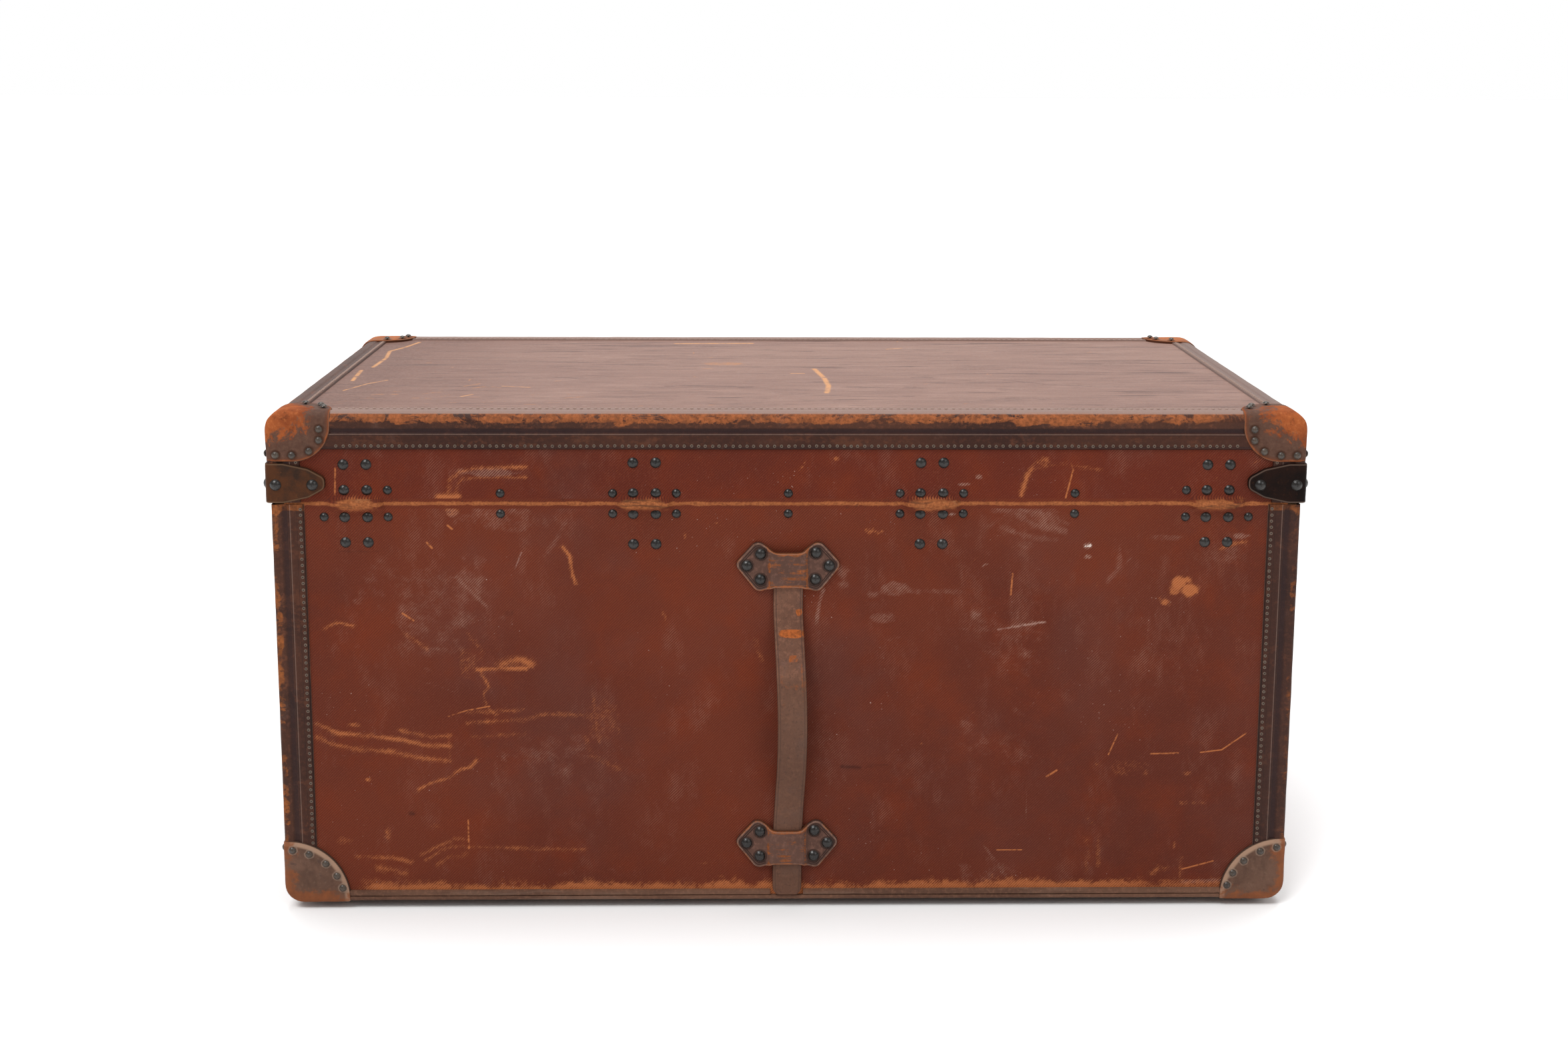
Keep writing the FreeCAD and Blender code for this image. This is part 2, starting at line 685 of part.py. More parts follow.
def placed(shape, along, outward, across, origin):
    """The shape's X, Y and Z turned to the three given directions."""
    matrix = FreeCAD.Matrix(along.x, outward.x, across.x, origin.x,
                            along.y, outward.y, across.y, origin.y,
                            along.z, outward.z, across.z, origin.z, 0, 0, 0, 1)
    turned = shape.copy()
    turned.Placement = FreeCAD.Placement(matrix).multiply(turned.Placement)
    return turned


def make_handles():
    upper = back_loop(upper_loop_z)
    lower = back_loop(lower_loop_z)
    nodes["back_loop_upper"] = upper
    nodes["back_loop_lower"] = lower
    bend_low = lower_loop_z + loop_lobe_z + strap_lead
    bend_high = upper_loop_z - loop_lobe_z - strap_lead - strap_travel
    strap = strap_solid(strap_end_z, strap_top_z, bend_low, bend_high, strap_bow)
    wall = -canvas_y - strap_face_gap
    nodes["back_strap"] = placed(strap, V(0, 0, 1), V(0, -1, 0), V(1, 0, 0), V(-strap_width / 2, wall, 0))

    bend = end_loop_y - loop_lobe_z - strap_lead - end_strap_travel
    end = end_loop_y + end_strap_end
    end_strap = strap_solid(-end, end, -bend, bend, end_strap_bow)
    wall_x = body_half_x + canvas
    loop = back_loop(0)
    loop_plane = canvas_y
    for side, name in ((-1, "left"), (1, "right")):
        nodes[name + "_end_strap"] = placed(
            end_strap, V(0, -side, 0), V(side, 0, 0), V(0, 0, 1),
            V(side * (wall_x + strap_face_gap), 0, end_handle_z - strap_width / 2))
        loops = []
        for sense in (-1, 1):
            flip = placed(loop, V(0, 0, -side * sense), V(-side, 0, 0), V(0, sense, 0),
                          V(side * (wall_x - loop_plane), sense * end_loop_y, end_handle_z))
            loops.append(flip)
        nodes[name + "_end_loops"] = group(loops)


def dome_profile(head, dome, shank, length, washer):
    radius = head / 2
    ball = (radius * radius + dome * dome) / (2 * dome)
    half_way = math.asin(radius / ball) / 2
    middle = V(ball * math.sin(half_way), 0, ball * math.cos(half_way) - ball + dome)
    pieces = [Part.Arc(V(0, 0, dome), middle, V(radius, 0, 0)).toShape()]
    corners = [V(radius, 0, 0), V(shank / 2, 0, 0), V(shank / 2, 0, -length)]
    if washer:
        corners += [V(clench / 2, 0, -length), V(clench / 2, 0, -length - clench_thickness),
                    V(0, 0, -length - clench_thickness)]
    else:
        corners.append(V(0, 0, -length))
    corners.append(V(0, 0, dome))
    for a, b in zip(corners, corners[1:]):
        pieces.append(Part.LineSegment(a, b).toShape())
    return Part.Face(Part.Wire(pieces)).revolve(V(0, 0, 0), V(0, 0, 1), full_turn)


def rivets(name, places, head, dome, shank, length, washer, drilled):
    """Rivets at (point, outward direction), with their holes in the nodes they pass."""
    pattern = dome_profile(head, dome, shank, length, washer)
    solids, holes = [], []
    for point, outward in places:
        turn = FreeCAD.Rotation(V(0, 0, 1), outward)
        one = pattern.copy()
        one.Placement = FreeCAD.Placement(point, turn)
        solids.append(one)
        start = point + outward * overrun
        holes.append(Part.makeCylinder(shank / 2 + fit, length + overrun, start, outward * -1))
    for node in drilled:
        reach = nodes[node].BoundBox
        near = [hole for hole in holes if hole.BoundBox.intersect(reach)]
        nodes[node] = cut_all(nodes[node], near)
    kept = list(nodes[name].Solids) if name in nodes else []
    nodes[name] = Part.makeCompound(kept + [s for solid in solids for s in solid.Solids])


def make_hinge_rivets():
    """Large rivets through the leaves, and small ones between the hinges.

    Only the lid's far rows are high enough to pass through its lining as well.
    """
    back = V(0, -1, 0)
    through = canvas + board
    body_nodes = ("back_board", "body_canvas", "hinge_leaves_body")
    lid_nodes = ("lid_back_rail", "lid_canvas", "hinge_leaves_lid", "lid_lining")
    gap_x = (inner_hinge_x + outer_hinge_x) / 2
    for sense, name, drilled, far_length in ((-1, "hinge_rivets_body", body_nodes, through),
                                             (1, "hinge_rivets_lid", lid_nodes, through + lining)):
        near_rows, far_rows, tacks = [], [], []
        for x, near, far in hinge_places:
            for side in (-1, 1):
                column_x = x + side * column / 2
                near_rows.append((V(column_x, -canvas_y, axis_z + sense * near), back))
                far_rows.append((V(column_x, -canvas_y, axis_z + sense * far), back))
                tack_x = x + side * tack_offset
                under_bracket = sense > 0 and abs(tack_x) > outer_hinge_x
                if not under_bracket:
                    tacks.append((V(tack_x, -canvas_y, axis_z + sense * near), back))
        for x in (-gap_x, 0, gap_x):
            tacks.append((V(x, -canvas_y, axis_z + sense * inner_near_row), back))
        rivets(name, near_rows, large_head, large_dome, large_shank, through, True, drilled)
        rivets(name, far_rows, large_head, large_dome, large_shank, far_length, True, drilled)
        rivets(name, tacks, small_head, small_dome, small_shank, canvas + blind_bite, False, drilled)


def make_loop_rivets():
    places = []
    through = canvas + board + lining + loop_leather
    for middle in (upper_loop_z, lower_loop_z):
        for x, z in loop_rivet_places:
            places.append((V(x, -canvas_y - loop_leather, middle + z), V(0, -1, 0)))
    end_face = body_half_x + canvas + loop_leather
    for side in (-1, 1):
        for sense in (-1, 1):
            for x, z in loop_rivet_places:
                point = V(side * end_face, sense * (end_loop_y + z), end_handle_z - side * sense * x)
                places.append((point, V(side, 0, 0)))
    drilled = ("back_board", "left_board", "right_board", "body_canvas", "body_lining", "back_loop_upper",
               "back_loop_lower", "left_end_loops", "right_end_loops")
    rivets("loop_rivets", places, large_head, large_dome, large_shank, through, True, drilled)


def cap_places(half_x, z_corner, reaches, side, face, up, long_shares, end_shares, flat_shares):
    long_reach, deep_reach, high_reach = reaches
    x = side * (half_x + skin + cap_leather)
    y = face * (half_y + skin + cap_leather)
    places = []
    for h, v in long_shares:
        places.append((V(x - side * h * long_reach, y, z_corner - up * v * high_reach), V(0, face, 0)))
    for h, v in end_shares:
        places.append((V(x, y - face * h * deep_reach, z_corner - up * v * high_reach), V(side, 0, 0)))
    for h, v in flat_shares:
        places.append((V(x - side * h * long_reach, y - face * v * deep_reach, z_corner), V(0, 0, up)))
    return places


def make_cap_rivets():
    length = cap_leather + edging + canvas + blind_bite
    body_reach = (body_cap_long, body_cap_deep, body_cap_high)
    lid_reach = (lid_cap_long, lid_cap_deep, lid_cap_high)
    body_places, lid_places = [], []
    for side in (-1, 1):
        for face in (-1, 1):
            body_places += cap_places(
                body_half_x, foot_z - cap_leather, body_reach, side, face, -1,
                body_long_face_shares, body_end_face_shares, ())
            lid_places += cap_places(
                lid_half_x, top_z + cap_leather, lid_reach, side, face, 1,
                lid_long_face_shares, lid_end_face_shares, lid_top_face_shares)
    body_caps = [name for name in nodes if name.startswith("body_cap_")]
    lid_caps = [name for name in nodes if name.startswith("lid_cap_")]
    body_nodes = body_caps + ["body_corner_edging", "lower_strips", "lower_battens", "body_canvas",
                              "back_board", "front_board", "left_board", "right_board", "bottom_board"]
    lid_nodes = lid_caps + ["lid_edging", "lid_corner_edging", "lid_canvas", "lid_back_rail",
                            "lid_front_rail", "lid_left_rail", "lid_right_rail", "lid_top_board"]
    rivets("cap_rivets_body", body_places, cap_head, cap_dome, cap_shank, length, False, body_nodes)
    rivets("cap_rivets_lid", lid_places, cap_head, cap_dome, cap_shank, length, False, lid_nodes)


def make_bracket_rivets():
    places = []
    x = lid_width / 2 + cap_leather
    y = depth / 2 + cap_leather
    z = rim_z + bracket_rise + bracket_height * bracket_rivet_height_share
    for side in (-1, 1):
        for face in (-1, 1):
            for share in bracket_rivet_shares:
                places.append((V(side * (x - share * bracket_reach), face * y, z), V(0, face, 0)))
                places.append((V(side * x, face * (y - share * bracket_reach), z), V(side, 0, 0)))
    drilled = ("back_brackets", "front_brackets", "lid_corner_edging", "lid_canvas", "lid_back_rail",
               "lid_front_rail", "lid_left_rail", "lid_right_rail")
    length = cap_leather + edging + canvas + blind_bite
    rivets("bracket_rivets", places, large_head, large_dome, large_shank, length, False, drilled)


def plate_outline(x, half, z0, z1, y, corner):
    return [(V(x - half, y, z0), corner), (V(x + half, y, z0), corner), (V(x + half, y, z1), corner),
            (V(x - half, y, z1), corner)]


hasp_axis_y = canvas_y + mount_plate + case_depth + hasp_gap + hasp_plate - hasp_eye_radius
hasp_axis_z = rim_z + hasp_axis_rise


def hasp_set(x, width, drop, case_width, case_height):
    """Hasp on the lid, its hinge plate, its pin, and the case on the body that takes its staple."""
    plane = canvas_y
    hinge_low = hasp_axis_z - hinge_plate_height / 2
    hinge_high = hasp_axis_z + hinge_plate_height / 2
    hinge_half = width / 2 + hasp_ear + hinge_plate_margin
    hinge_shape = plate_outline(x, hinge_half, hinge_low, hinge_high, plane, plate_corner)
    hinge = slab(hinge_shape, V(0, mount_plate, 0))
    for side in (-1, 1):
        a = x + side * (width / 2 + ear_gap)
        b = x + side * (width / 2 + hasp_ear)
        ear = turned_x(hasp_eye_radius, min(a, b), max(a, b), hasp_axis_y, hasp_axis_z)
        foot = box(a, b, plane, hasp_axis_y, hasp_axis_z - hasp_eye_radius, hasp_axis_z + hasp_eye_radius)
        hinge = hinge.fuse(ear).fuse(foot)
    bore = turned_x(hasp_pin_radius + fit, x - width, x + width, hasp_axis_y, hasp_axis_z)
    hinge = hinge.cut(bore).removeSplitter()

    outer = hasp_axis_y + hasp_eye_radius
    inner = outer - hasp_plate
    tip = hasp_axis_z - drop
    tip_round = width * hasp_tip_share
    leaf_shape = slab(
        [(V(x - width / 2, inner, tip), tip_round), (V(x + width / 2, inner, tip), tip_round),
         (V(x + width / 2, inner, hasp_axis_z), 0), (V(x - width / 2, inner, hasp_axis_z), 0)],
        V(0, hasp_plate, 0))
    eye = turned_x(hasp_eye_radius, x - width / 2, x + width / 2, hasp_axis_y, hasp_axis_z)
    staple_z = tip + staple_tip
    staple = box(x - staple_width / 2, x + staple_width / 2, inner, inner - staple_reach,
                 staple_z - staple_height / 2, staple_z + staple_height / 2)
    hole_y = inner - staple_reach / 2
    staple_bore = turned_x(staple_hole / 2, x - width, x + width, hole_y, staple_z)
    hasp = leaf_shape.fuse(eye).fuse(staple).cut(bore).cut(staple_bore).removeSplitter()

    pin_reach = width / 2 + hasp_ear
    pin = turned_x(hasp_pin_radius, x - pin_reach, x + pin_reach, hasp_axis_y, hasp_axis_z)

    case_top = seam_z - case_drop
    case_low = case_top - case_height
    plate_half = case_width / 2 + plate_margin
    plate = slab(plate_outline(x, plate_half, case_low - plate_margin / 2, case_top, plane, plate_corner),
                 V(0, mount_plate, 0))
    body = slab(plate_outline(x, case_width / 2, case_low, case_top, plane, case_corner),
                V(0, mount_plate + case_depth, 0))
    slot_half = staple_width / 2 + slot_side_gap
    slot = box(x - slot_half, x + slot_half, plane + mount_plate + slot_back, outer,
               staple_z - staple_height / 2 - slot_floor_gap, case_top + overrun)
    case = plate.fuse(body).cut(slot).removeSplitter()
    return hinge, hasp, pin, case


def make_lock_side():
    hinge, hasp, pin, case = hasp_set(0, lock_width, lock_drop, lock_case_width, lock_case_height)
    hinges, pins = [hinge], [pin]
    front = canvas_y + mount_plate + case_depth
    key_z = seam_z - case_drop - key_drop
    keyhole = box(key_x - key_width / 2, key_x + key_width / 2,
                  front - case_depth + slot_back, front + overrun, key_z - key_height, key_z)
    case = case.cut(keyhole)
    pivot_z = key_z + key_width
    pivot = Part.makeCylinder(cover_pin_radius + fit, case_depth, V(key_x, front, pivot_z), V(0, -1, 0))
    nodes["lock_case"] = case.cut(pivot)
    nodes["lock_hasp"] = hasp

    cover_round = cover_radius * cover_round_share
    shape = slab([(V(key_x - cover_radius, front + cover_gap, pivot_z + cover_radius), cover_round),
                  (V(key_x + cover_radius, front + cover_gap, pivot_z + cover_radius), cover_round),
                  (V(key_x + cover_radius, front + cover_gap, pivot_z - cover_length), cover_round),
                  (V(key_x - cover_radius, front + cover_gap, pivot_z - cover_length), cover_round)],
                 V(0, cover_thickness, 0))
    bore_start = V(key_x, front - case_depth, pivot_z)
    bore = Part.makeCylinder(cover_pin_radius + fit, 2 * case_depth, bore_start, V(0, 1, 0))
    nodes["keyhole_cover"] = shape.cut(bore)

    cases = []
    for side, name in ((-1, "left_hasp"), (1, "right_hasp")):
        hinge, hasp, pin, case = hasp_set(side * clasp_x, clasp_width, clasp_drop, clasp_case_width,
                                          clasp_case_height)
        hinges.append(hinge)
        pins.append(pin)
        cases.append(case)
        nodes[name] = hasp
    nodes["clasp_cases"] = group(cases)
    nodes["hasp_hinge_plates"] = group(hinges)
    nodes["hasp_pins"] = group(pins)

    front_way = V(0, 1, 0)
    plane = canvas_y + mount_plate
    lid_places, body_places = [], []
    for x, width, case_width, case_height in ((0, lock_width, lock_case_width, lock_case_height),
                                              (-clasp_x, clasp_width, clasp_case_width, clasp_case_height),
                                              (clasp_x, clasp_width, clasp_case_width, clasp_case_height)):
        for side in (-1, 1):
            reach = width / 2 + hasp_ear + hinge_plate_margin / 2
            lid_places.append((V(x + side * reach, plane, hasp_axis_z), front_way))
            out = case_width / 2 + plate_margin / 2
            for drop in (plate_margin / 2, case_height - plate_margin / 2):
                body_places.append((V(x + side * out, plane, seam_z - case_drop - drop), front_way))
    length = mount_plate + canvas + blind_bite
    rivets("lock_rivets_lid", lid_places, cap_head, cap_dome, cap_shank, length, False,
           ("hasp_hinge_plates", "lid_canvas", "lid_front_rail"))
    rivets("lock_rivets_body", body_places, cap_head, cap_dome, cap_shank, length, False,
           ("lock_case", "clasp_cases", "body_canvas", "front_board"))
    pin_start = cover_gap + cover_thickness + cover_gap / 2
    pin_length = pin_start + case_depth / 2
    cover_pin = dome_profile(cover_pin_head * 2, cover_pin_dome, cover_pin_radius * 2, pin_length, False)
    turn = FreeCAD.Rotation(V(0, 0, 1), front_way)
    cover_pin.Placement = FreeCAD.Placement(V(key_x, front + pin_start, pivot_z), turn)
    nodes["keyhole_pin"] = cover_pin


def make_runners():
    half = body_width / 2 - runner_end_inset
    pitch = depth / 2 - runner_side_inset
    under = board_foot_z - canvas
    pieces = []
    for step in (-1, 0, 1):
        y = step * pitch
        pieces.append(box(-half, half, y - runner_width / 2, y + runner_width / 2, 0, under))
    nodes["runners"] = group(pieces)


make_carcass_boards()
make_skins()
make_closing_lip()
make_body_edging()
make_lid_edging()
make_caps()
make_brackets()
make_hinges()
make_handles()
make_runners()
make_hinge_rivets()
make_loop_rivets()
make_cap_rivets()
make_bracket_rivets()
make_lock_side()

os.makedirs("parts", exist_ok=True)
for name, shape in nodes.items():
    solids = shape.Solids
    whole = solids[0] if len(solids) == 1 else Part.makeCompound(solids)
    whole.exportStep("parts/" + name + ".step")
    print(name, len(solids), round(whole.Volume), whole.isValid())
print(len(nodes), "nodes")
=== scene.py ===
import math

import bpy
import numpy as np
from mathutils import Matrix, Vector, geometry


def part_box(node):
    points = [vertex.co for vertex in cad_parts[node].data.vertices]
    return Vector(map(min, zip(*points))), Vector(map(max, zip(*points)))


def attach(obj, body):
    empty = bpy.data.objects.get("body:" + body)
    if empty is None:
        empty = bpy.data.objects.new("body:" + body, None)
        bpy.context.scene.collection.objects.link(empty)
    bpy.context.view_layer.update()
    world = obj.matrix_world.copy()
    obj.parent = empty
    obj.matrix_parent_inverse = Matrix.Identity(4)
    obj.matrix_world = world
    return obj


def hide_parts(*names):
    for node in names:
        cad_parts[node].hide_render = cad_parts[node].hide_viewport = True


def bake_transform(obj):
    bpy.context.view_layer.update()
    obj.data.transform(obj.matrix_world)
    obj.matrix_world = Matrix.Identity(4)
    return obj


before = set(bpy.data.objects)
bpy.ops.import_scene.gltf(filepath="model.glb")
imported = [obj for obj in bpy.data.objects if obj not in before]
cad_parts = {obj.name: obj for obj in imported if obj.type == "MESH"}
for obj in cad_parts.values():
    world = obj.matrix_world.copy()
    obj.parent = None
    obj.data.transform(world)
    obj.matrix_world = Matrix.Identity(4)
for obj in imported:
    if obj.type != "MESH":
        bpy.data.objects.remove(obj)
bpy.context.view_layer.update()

MM = 0.001

# Sizes of the trunk in millimetres, the same as in the part's source
BODY_X, LID_X, HALF_Y = 541.0, 544.0, 282.0      # outer faces of the boards
FOOT_Z, SEAM_Z, RIM_Z, TOP_Z = 13.0, 452.0, 452.4, 547.4   # ends of the body's and of the lid's boards
CANVAS, SKIN, CAP = 1.0, 4.0, 6.0                # outer faces of canvas, edging and caps, over the boards
END_R, TOP_R, UPRIGHT_R, SOLE_R = 18.0, 10.0, 1.0, 1.0     # radii of the boards' edges
UPRIGHT_SHARE, SOLE_SHARE = 0.8, 0.4             # how much of a skin's thickness adds to these radii
INNER_X, INNER_Y = 531.0, 272.0                  # inner faces of the boards
AXIS_Y, AXIS_Z = -285.5, 452.2                   # hinge pins of the lid
HINGE_X = (-456.0, -152.0, 152.0, 456.0)
SEAM_HALF = 5.4                                  # half the strip of canvas that bends
EDGING, LID_SIDE, LID_LONG = 35.0, 41.0, 28.0    # widths of the edging: most legs, down the lid, its long top
LOOP_HIGH, LOOP_LOW = 384.7, 74.2                # middles of the loops on the back
HANDLE_Y, HANDLE_Z = 112.0, 250.0                # middles of the loops on the ends
STRAP_HALF, STRAP_GAP = 15.75, 0.3               # half width of a strap, and its gap off the canvas
INSIDE = (0.0, 0.0, 300.0)                       # a place inside the trunk


# Numbers and noise
def smooth(low, high, value):
    """0 at low and 1 at high, with a soft start and stop; low may be the larger one."""
    t = np.clip((value - low) / (high - low), 0.0, 1.0)
    return t * t * (3 - 2 * t)


def lattice(points, scale, seed):
    """Smooth noise from -1 to 1 at points in millimetres; scale is waves per millimetre."""
    q = np.asarray(points, float) * scale + seed * 17.13
    cell = np.floor(q).astype(np.int64)
    f = q - cell
    f = f * f * (3 - 2 * f)
    total = np.zeros(len(q))
    for corner in range(8):
        step = np.array([corner & 1, corner >> 1 & 1, corner >> 2 & 1])
        c = cell + step
        h = (c[:, 0] * 374761393 + c[:, 1] * 668265263 + c[:, 2] * 1440662683 + seed * 974711) & 0x7FFFFFFF
        h = ((h ^ (h >> 13)) * 1274126177) & 0x7FFFFFFF
        h = h ^ (h >> 16)
        value = (h & 0xFFFF) / 32767.5 - 1
        weight = np.prod(np.where(step, f, 1 - f), axis=1)
        total += weight * value
    return total


def rough(points, scale, seed, octaves=3):
    """Several octaves of noise."""
    total = np.zeros(len(points))
    share = 1.0
    for i in range(octaves):
        total += share * lattice(points, scale * 2 ** i, seed + i)
        share *= 0.5
    return total


def pairs(a, b):
    """Every number of a with every number of b, as two long rows; b changes slowest."""
    return [g.ravel() for g in np.meshgrid(a, b)]


def to_segment(points, start, stop):
    """Distance of 2D points to the line between two others."""
    run = stop - start
    t = np.clip(((points - start) @ run) / max(run @ run, 1e-12), 0, 1)
    return np.linalg.norm(points - start - t[:, None] * run, axis=1)


def to_nearest(points, places):
    """Distance of each point to the nearest of some places."""
    return np.min(np.linalg.norm(points[:, None] - np.asarray(places)[None], axis=2), axis=1)


def lengths(line):
    """How far along a line of 2D points each of them lies."""
    return np.concatenate([[0], np.cumsum(np.linalg.norm(np.diff(line, axis=0), axis=1))])


def spread(line, count, closed=False):
    """Points spaced evenly along a line; closed leaves out its last one, which is the first again."""
    length = lengths(line)
    at = np.linspace(0, length[-1], count, endpoint=not closed)
    return np.stack([np.interp(at, length, line[:, 0]), np.interp(at, length, line[:, 1])], axis=1)


# The rounded block
def prism(u, v, half_u, low_v, high_v, low_r, high_r):
    """Signed distance to a rounded rectangle whose lower and upper corners differ."""
    middle = (low_v + high_v) / 2
    half_v = (high_v - low_v) / 2
    r = np.where(v < middle, low_r, high_r)
    du = np.abs(u) - half_u + r
    dv = np.abs(v - middle) - half_v + r
    outside = np.hypot(np.maximum(du, 0), np.maximum(dv, 0))
    return outside + np.minimum(np.maximum(du, dv), 0) - r


def body_of(lid):
    """The moving body that a piece of the lid or of the lower part belongs to."""
    return "lid" if lid else "body"


def block(points, offset, lid, soft):
    """Distance to the carcass grown by offset; soft rounds the corners where three faces meet."""
    x, y, z = points.T
    half_x = (LID_X if lid else BODY_X) + offset
    half_y = HALF_Y + offset
    past = 60.0                    # the open side lies this far past the seam, so that it has no edge there
    end_r = END_R + offset
    if lid:
        low, high = RIM_Z - past, TOP_Z + offset
        ends = prism(x, z, half_x, low, high, 0.0, end_r)
        sides = prism(y, z, half_y, low, high, 0.0, TOP_R + offset)
    else:
        low, high = FOOT_Z - offset, SEAM_Z + past
        ends = prism(x, z, half_x, low, high, end_r, 0.0)
        sides = prism(y, z, half_y, low, high, SOLE_R + offset * SOLE_SHARE, 0.0)
    up_r = UPRIGHT_R + offset * UPRIGHT_SHARE
    plan = prism(x, y, half_x, -half_y, half_y, up_r, up_r)
    values = np.stack([ends, sides, plan])
    top = values.max(axis=0)
    return top + soft * np.log(np.exp((values - top) / soft).sum(axis=0))


def wrap(points, offset, lid, soft=0.05, rounds=6):
    """Points moved square on to the carcass grown by offset, which may differ from point to point."""
    p = np.array(points, float)
    offset = np.broadcast_to(np.asarray(offset, float), (len(p),))
    step = 0.02
    for _ in range(rounds):
        f = block(p, offset, lid, soft)
        slope = np.empty_like(p)
        for axis in range(3):
            moved = p.copy()
            moved[:, axis] += step
            slope[:, axis] = (block(moved, offset, lid, soft) - f) / step
        p -= slope * (f / np.maximum((slope ** 2).sum(axis=1), 0.2))[:, None]
    return p


# Mesh making
def make(name, points, faces, materials, body, nodes, attributes, sharp, picks=None):
    """A piece in metres from points in millimetres; attributes are numbers at its points."""
    mesh = bpy.data.meshes.new(name)
    mesh.from_pydata((np.asarray(points) * MM).tolist(), [], [list(map(int, f)) for f in faces])
    for material in materials if isinstance(materials, (list, tuple)) else [materials]:
        mesh.materials.append(material)
    if picks is not None:
        mesh.polygons.foreach_set("material_index", np.asarray(picks, np.int32))
    for key, values in attributes.items():
        layer = mesh.attributes.new(key, "FLOAT", "POINT")
        layer.data.foreach_set("value", np.asarray(values, np.float32))
    mesh.validate()
    mesh.shade_smooth()
    mesh.set_sharp_from_angle(angle=math.radians(sharp))
    piece = bpy.data.objects.new(name, mesh)
    bpy.context.scene.collection.objects.link(piece)
    if body:
        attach(piece, body)
    if nodes:
        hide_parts(*nodes)
    return piece


class Sheets:
    """Points and faces of several sheets that become one piece."""

    def __init__(self):
        self.points, self.faces, self.extra, self.picks = [], [], {}, []
        self.count = 0

    def add(self, points, faces, pick=0, **extra):
        """One more sheet; pick is its material and extra the numbers at its points."""
        points = np.asarray(points, float)
        faces = [[i + self.count for i in f] for f in faces]
        self.points.append(points)
        self.faces += faces
        self.picks += [pick] * len(faces)
        for key, value in extra.items():
            self.extra.setdefault(key, []).append(np.broadcast_to(np.asarray(value, float), (len(points),)))
        self.count += len(points)

    def piece(self, name, materials, body, slot, nodes, sharp):
        """Makes the piece from all the sheets."""
        points = np.concatenate(self.points)
        extra = {key: np.concatenate(value) for key, value in self.extra.items()}
        make(name, points, self.faces, materials, body, nodes, extra, sharp, self.picks)


def grid_faces(rows, columns, closed=False):
    """Faces of a grid of points stored row by row; closed joins the last column to the first."""
    faces = []
    for i in range(rows - 1):
        for j in range(columns if closed else columns - 1):
            k = (j + 1) % columns
            faces.append([i * columns + j, i * columns + k, (i + 1) * columns + k, (i + 1) * columns + j])
    return faces


def outward(points, faces, middle):
    """The faces, turned round if they look towards a point in the middle."""
    p = np.asarray(points)
    score = 0.0
    for f in faces[:: max(1, len(faces) // 200)]:
        a, b, c = p[f[0]], p[f[1]], p[f[2]]
        score += np.dot(np.cross(b - a, c - a), a - np.asarray(middle))
    return faces if score > 0 else [f[::-1] for f in faces]


def patch(origin, along_u, along_v, us, vs):
    """Grid of points and its faces."""
    u, v = pairs(us, vs)
    points = (np.asarray(origin, float) + u[:, None] * np.asarray(along_u, float)
              + v[:, None] * np.asarray(along_v, float))
    return points, grid_faces(len(vs), len(us))


def rounded(corners):
    """Closed outline through (x, y, radius) corners, as points."""
    result = []
    count, steps = len(corners), 6
    for i in range(count):
        here = np.array(corners[i][:2], float)
        r = corners[i][2]
        a = np.array(corners[i - 1][:2], float) - here
        b = np.array(corners[(i + 1) % count][:2], float) - here
        a /= np.linalg.norm(a)
        b /= np.linalg.norm(b)
        half = math.acos(np.clip(a @ b, -1, 1)) / 2
        start = here + a * r / math.tan(half)
        stop = here + b * r / math.tan(half)
        centre = here + (a + b) / np.linalg.norm(a + b) * r / math.sin(half)
        for k in range(steps + 1):
            p = start + (stop - start) * k / steps - centre
            result.append(centre + p / np.linalg.norm(p) * r)
    return np.array(result)


def edge_distance(points, outline):
    """Distance of each 2D point to the closed outline."""
    best = np.full(len(points), 1e9)
    for start, stop in zip(outline, np.roll(outline, -1, axis=0)):
        best = np.minimum(best, to_segment(points, start, stop))
    return best


def inside(points, outline):
    """Which 2D points lie inside the closed outline."""
    x, y = points.T
    result = np.zeros(len(points), bool)
    for (x0, y0), (x1, y1) in zip(outline, np.roll(outline, -1, axis=0)):
        crosses = (y0 > y) != (y1 > y)
        result ^= crosses & (x < x0 + (y - y0) / (y1 - y0 + 1e-12) * (x1 - x0))
    return result


def plate(outline, pitch, rings):
    """Flat mesh inside an outline, with rings near its edge and then a grid.

    Gives its points, their distances from the edge, its faces and how many of the points are the edge."""
    around = np.vstack([outline, outline[:1]])
    outline = spread(around, max(12, int(lengths(around)[-1] / pitch)), closed=True)
    x, y = outline.T
    if np.sum(x * np.roll(y, -1) - np.roll(x, -1) * y) < 0:
        outline = outline[::-1]
    tangent = np.roll(outline, -1, axis=0) - np.roll(outline, 1, axis=0)
    tangent /= np.linalg.norm(tangent, axis=1)[:, None]
    inner = np.stack([-tangent[:, 1], tangent[:, 0]], axis=1)
    points = [outline]
    for d in rings:
        ring = outline + inner * d
        keep = inside(ring, outline) & (edge_distance(ring, outline) > d * 0.85)
        points.append(ring[keep])
    low, high = outline.min(axis=0), outline.max(axis=0)
    grid = np.stack(pairs(np.arange(low[0], high[0], pitch), np.arange(low[1], high[1], pitch)), axis=1)
    keep = inside(grid, outline) & (edge_distance(grid, outline) > rings[-1] + pitch * 0.6)
    points.append(grid[keep])
    count = len(outline)
    border = [(i, (i + 1) % count) for i in range(count)]
    done = geometry.delaunay_2d_cdt([Vector(p) for p in np.concatenate(points)], border, [], 1, 1e-5)
    flat = np.array([v[:] for v in done[0]])
    return flat, edge_distance(flat, outline), [list(f) for f in done[2]], count


